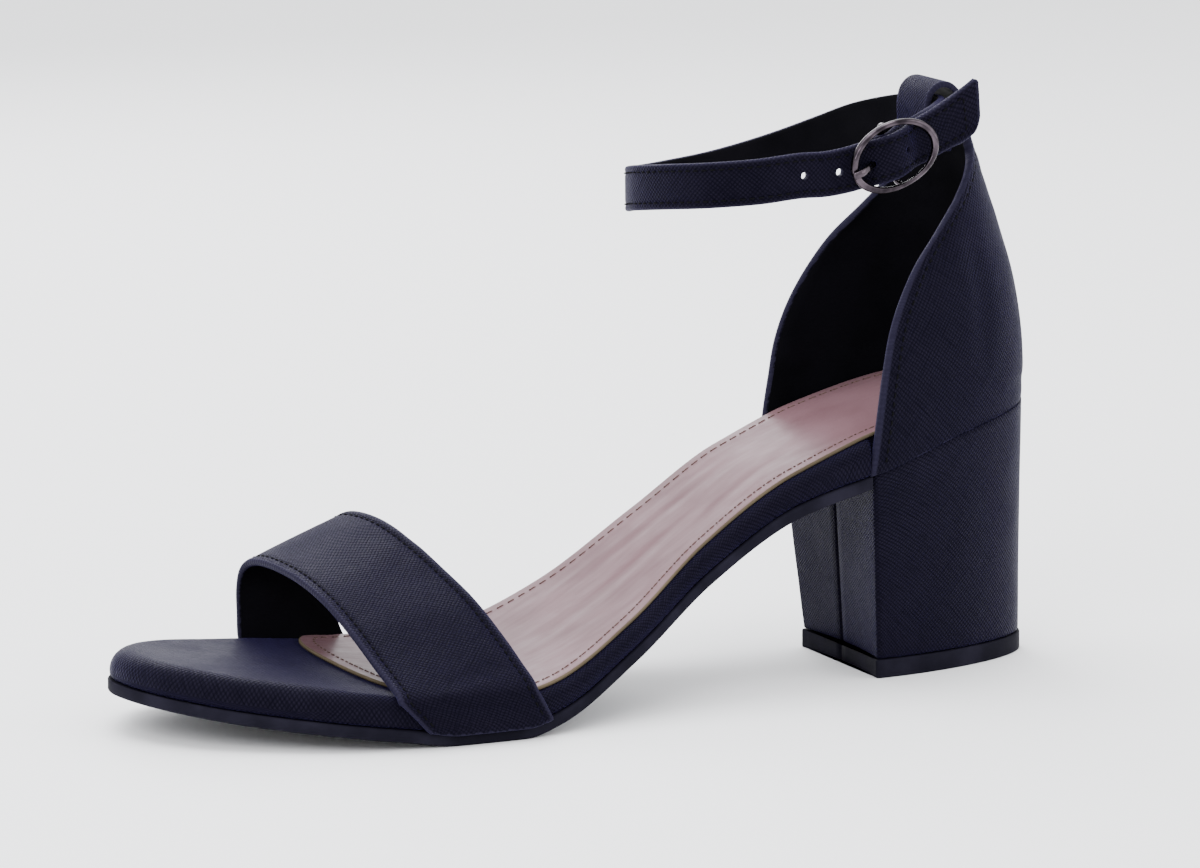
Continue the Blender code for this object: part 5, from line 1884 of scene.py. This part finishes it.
    def build_strap(self, finishes: Finishes) -> None:
        """Strap swept along its path, its tip cut on a slant, with the holes drilled through.

        Args:
            finishes: the sandal's finishes.
        """
        points, start = self.path()
        fine = smooth_path(points, self.fine_points)
        fold_end = int(np.argmin(np.linalg.norm(fine - points[start], axis=1)))
        picks = np.concatenate([
            np.linspace(0, fold_end, self.fold_rows)[:-1],
            np.linspace(fold_end, len(fine) - 1, self.ring_rows),
        ]).astype(int)
        path = fine[picks]
        walked = walk(path)
        ring_at = walked[self.fold_rows - 1]
        thin = 1 - ease(walked, ring_at * 0.9, ring_at * 1.3)
        thickness = self.thickness + (self.skived - self.thickness) * thin
        centre, along, up, _ = self.axes()
        free = 1 - ease(walked, ring_at, ring_at + self.width)
        ups = np.array([0.0, 0.0, 1.0]) * (1 - free[:, None]) + up * free[:, None]
        side, rise = sweep_frames(path, ups)
        shape, distance, outer = self.section()
        tip_share = ease(walked, walked[-1] - self.width, walked[-1])
        heading = unit(path[-1] - path[-2])

        def lay(shares: Array, rows: Array) -> Array:
            """Points of the sweep at section shares, for some rows.

            Args:
                shares: shares of half thickness and half width.
                rows: rows of the path.

            Returns:
                A grid of rows by shares.
            """
            lean = self.tip_lean(shares[:, 1])
            return (
                path[rows][:, None]
                + side[rows][:, None] * (shares[None, :, 0] * thickness[rows][:, None] / 2)[..., None]
                + rise[rows][:, None] * (shares[:, 1] * self.width / 2)[None, :, None]
                + heading * (tip_share[rows][:, None] * lean[None])[..., None]
            )

        body = lay(shape, np.arange(len(path)))
        around = walk(np.column_stack([shape[:, 1] * self.width / 2, shape[:, 0] * self.thickness / 2]))
        uv = np.stack(np.broadcast_arrays(walked[:, None], around[None]), axis=2) / MM
        end_mm = np.minimum(walked, walked[-1] - walked)[:, None] / MM
        edge = np.minimum(distance[None], end_mm)
        first_inner = int(np.argmax(~outer))
        last_inner = len(outer) - int(np.argmax(~outer[::-1]))
        skin = Skin()
        skin.add(body[:, :first_inner + 1], uv[:, :first_inner + 1], edge[:, :first_inner + 1], Face.SHOW)
        inner_part = slice(first_inner, last_inner)
        skin.add(body[:, inner_part], uv[:, inner_part], edge[:, inner_part], Face.BACK)
        skin.add(body[:, last_inner - 1:], uv[:, last_inner - 1:], edge[:, last_inner - 1:], Face.SHOW)
        for end in (0, -1):
            ring = body[end]
            middle = ring[:-1].mean(axis=0)
            tangent = unit(path[end] - path[1 if end == 0 else -2])
            cap = []
            for share, push in ((1.0, 0.0), (0.94, 0.3), (0.8, 0.42), (0.4, 0.45), (0.0, 0.45)):
                cap.append(middle + (ring - middle) * share + tangent * push * MM)
            cap = np.array(cap)
            cap_uv = np.broadcast_to(uv[end][None], cap.shape[:2] + (2,))
            skin.add(cap, cap_uv, np.zeros(cap.shape[:2]), Face.RIM)
        strap = skin.build("ankle_band", [finishes.hatch, finishes.lining, finishes.fold])
        tail = walked > walked[-1] - 6 * self.hole_spacing
        reach_along = (path[tail] - centre) @ along
        for index in self.open_holes:
            reach = self.prong_hole + index * self.hole_spacing
            place = np.array([np.interp(reach, reach_along, path[tail, k]) for k in range(3)])
            way = side[int(np.argmin(np.linalg.norm(path - place, axis=1)))]
            deep = self.thickness * 1.5
            line = np.array([place - way * deep, place + way * deep])
            self.cut(strap, self.tube("drill", line, self.hole / 2, up))
        prong = self.prong_line()
        back = prong[0] + unit(prong[0] - prong[1]) * self.gap
        slot = self.tube("slot", np.vstack([back, prong]), self.prong + self.gap * 0.8, up)
        self.cut(strap, slot)
        show(strap, "upper_leather", "ankle_strap")
        thread = Skin()
        share_up = 1 - self.seam_inset / (self.width / 2)
        run = np.arange(self.fold_rows - 4, len(path) - 2)
        clear = np.linalg.norm(path[run] - path[run[-1]], axis=1) > self.seam_inset * 0.9
        run = run[clear]
        for up_share in (share_up, -share_up):
            line = lay(np.array([[0.92, up_share]]), run)[:, 0]
            STRAP_SEAM.add(thread, line, side[run])
        last_row = np.array([run[-1]])
        ups_line = np.linspace(-share_up, share_up, 30)
        tip = lay(np.stack([np.full(30, 0.97), ups_line], axis=1), last_row)[0]
        STRAP_END_SEAM.add(thread, tip, np.repeat(side[last_row], len(tip), axis=0))
        show(thread.build("ankle_band_stitches", [finishes.thread]), "upper_leather")

    def cut(self, target: bpy.types.Object, tool: bpy.types.Object) -> None:
        """Cut a tool out of the strap, and remove the tool.

        Args:
            target: the piece that is cut.
            tool: the closed tool.
        """
        modifier = target.modifiers.new("Cut", "BOOLEAN")
        modifier.operation = "DIFFERENCE"
        modifier.solver = "EXACT"
        modifier.object = tool
        graph = bpy.context.evaluated_depsgraph_get()
        shaped = bpy.data.meshes.new_from_object(target.evaluated_get(graph))
        work = bmesh.new()
        work.from_mesh(shaped)
        bmesh.ops.remove_doubles(work, verts=work.verts, dist=self.cut_weld)
        bmesh.ops.dissolve_degenerate(work, edges=work.edges, dist=self.cut_weld)
        bmesh.ops.triangulate(work, faces=[face for face in work.faces if len(face.verts) > 4])
        work.to_mesh(shaped)
        work.free()
        target.modifiers.clear()
        target.data = shaped
        bpy.data.objects.remove(tool)

    def build_buckle(self, finishes: Finishes) -> None:
        """Oval frame whose flattened wire swells and turns a little on its way round, with bar and prong.

        Args:
            finishes: the sandal's finishes.
        """
        centre, along, up, out = self.axes()
        turn = np.arange(self.frame_points) * 2 * math.pi / self.frame_points
        ring = centre + self.half_length * np.outer(np.cos(turn), along)
        ring = ring + self.half_height * np.outer(np.sin(turn), up)
        ring = ring + np.outer(0.18 * MM * np.cos(2 * turn + 0.6), out)
        radii = np.stack([
            self.wire * (0.82 + 0.17 * np.cos(turn * 2 - 0.5)), self.wire * (0.92 + 0.08 * np.sin(turn * 3))
        ], axis=1)
        lean = 0.35 * np.sin(turn * 2 + 0.8)
        radial = unit(ring - centre)
        ups = out * np.cos(lean)[:, None] + radial * np.sin(lean)[:, None]
        skin = Skin()
        rod(skin, ring, ups, radii, 24, closed=True, power=2.5)
        show(skin.build("buckle_ring", [finishes.metal]), "buckle_metal", "buckle_frame")
        rises = column(BAR, BAR_COLUMNS, "of_half_height")
        recess = column(BAR, BAR_COLUMNS, "of_recess") * self.bar_recess
        rises, recess = np.concatenate([rises, -rises[::-1]]), np.concatenate([recess, recess[::-1]])
        line = centre + self.half_height * np.outer(rises, up) - np.outer(recess, out)
        line = smooth_path(line, self.bar_points)[self.bar_trim:-self.bar_trim]
        skin = Skin()
        rod(skin, line, np.tile(along, (len(line), 1)), np.full(2, self.bar), 18)
        show(skin.build("buckle_bar", [finishes.metal]), "buckle_metal")
        line = self.prong_line()
        skin = Skin()
        rod(skin, line, np.tile(up, (len(line), 1)), np.array(self.tongue), 20, power=3.0)
        show(skin.build("buckle_tongue", [finishes.metal]), "buckle_metal", "buckle_prong")

    def build(self, finishes: Finishes) -> None:
        """Build the strap and then its buckle."""
        self.build_strap(finishes)
        self.build_buckle(finishes)


@dataclass(frozen=True)
class Lamp:
    """Square soft light that points at the middle of the shoe."""

    name: str
    place: tuple[float, float, float]
    size: float
    watts: float
    colour: tuple[float, float, float]


LAMPS = (
    Lamp("Top light", (-0.1, 0.25, 1.15), 0.9, 16.0, (0.96, 0.97, 1.0)),
    Lamp("Key light", (-0.75, -0.75, 0.75), 0.6, 9.0, (0.98, 0.98, 1.0)),
    Lamp("Fill light", (0.9, -0.7, 0.5), 0.8, 4.0, (0.97, 0.97, 1.0)),
    Lamp("Back light", (0.15, 1.0, 0.56), 0.5, 5.0, (0.98, 0.97, 1.0)),
)


@dataclass
class Studio:
    """Pale floor, soft lights and the camera of the photograph."""

    target: tuple[float, float, float] = (0.0, 0.0, 50.0)
    distance: float = 1691.8
    right: tuple[float, float, float] = (0.91174, -0.41065, -0.00953)
    up: tuple[float, float, float] = (0.08548, 0.16700, 0.98224)
    back: tuple[float, float, float] = (-0.40177, -0.89637, 0.18736)
    lens: float = 209.99
    shift: tuple[float, float] = (0.0176, 0.0457)
    lit_point: tuple[float, float, float] = (0.0, 0.0, 0.06)
    air: tuple[float, float, float, float] = rgb(0.97, 0.98, 1.0)
    air_strength: float = 2.0

    def camera(self) -> None:
        """Camera at the target plus the distance along the view's back direction."""
        data = bpy.data.cameras.new("Camera")
        data.sensor_width = 36.0
        data.lens = self.lens
        data.shift_x, data.shift_y = self.shift
        data.clip_end = 20.0
        place = np.array(self.target) * MM - CENTRE_SHIFT + np.array(self.back) * self.distance * MM
        thing = bpy.data.objects.new("Camera", data)
        bpy.context.scene.collection.objects.link(thing)
        turn = np.eye(4)
        turn[:3, 0], turn[:3, 1], turn[:3, 2], turn[:3, 3] = self.right, self.up, self.back, place
        thing.matrix_world = Matrix(turn.tolist())
        bpy.context.scene.camera = thing

    def hang(self, lamp: Lamp) -> None:
        """Hang a lamp at its place, turned to the lit point.

        Args:
            lamp: its name, place, size, power and colour.
        """
        data = bpy.data.lights.new(lamp.name, "AREA")
        data.size = lamp.size
        data.energy = lamp.watts
        data.color = lamp.colour
        thing = bpy.data.objects.new(lamp.name, data)
        bpy.context.scene.collection.objects.link(thing)
        back = unit(np.array(lamp.place) - np.array(self.lit_point))
        right = unit(np.cross((0.0, 0.0, 1.0), back) + 1e-9)
        turn = np.eye(4)
        turn[:3, 0], turn[:3, 1], turn[:3, 2], turn[:3, 3] = right, np.cross(back, right), back, lamp.place
        thing.matrix_world = Matrix(turn.tolist())

    def build(self) -> None:
        """Floor, world light, lamps and camera."""
        skin = Skin()
        line = np.linspace(-3.0, 3.0, 9)
        grid = np.stack(np.meshgrid(line, line, indexing="ij") + [np.zeros((9, 9))], axis=2)
        skin.add(grid + CENTRE_SHIFT)
        floor = skin.build("floor", [])
        paint = Paint("Pale floor")
        tone = paint.mix(paint.noise(6.0, 2.0), rgb(0.93, 0.93, 0.935), rgb(0.945, 0.945, 0.95))
        paint.set(Base_Color=tone, Roughness=0.7)
        floor.data.materials.append(paint.material)
        world = bpy.data.worlds.new("Studio air")
        bpy.context.scene.world = world
        world.use_nodes = True
        background = world.node_tree.nodes["Background"]
        background.inputs["Color"].default_value = self.air
        background.inputs["Strength"].default_value = self.air_strength
        for lamp in LAMPS:
            self.hang(lamp)
        self.camera()


def main() -> None:
    """Build every sub-assembly in order, from the sole up."""
    logging.basicConfig(level=logging.INFO, format="%(name)s %(message)s")
    finishes = Finishes.make()
    last = Last()
    sole = Sole(last)
    sole.build_outsole(finishes)
    sole.build_footbed(finishes)
    sole.build_sock(finishes)
    BlockHeel(last).build(finishes)
    ClosedBack(last).build(finishes)
    ToeStrap(last).build(finishes)
    AnkleStrap().build(finishes)
    Studio().build()


if __name__ == "__main__":
    main()
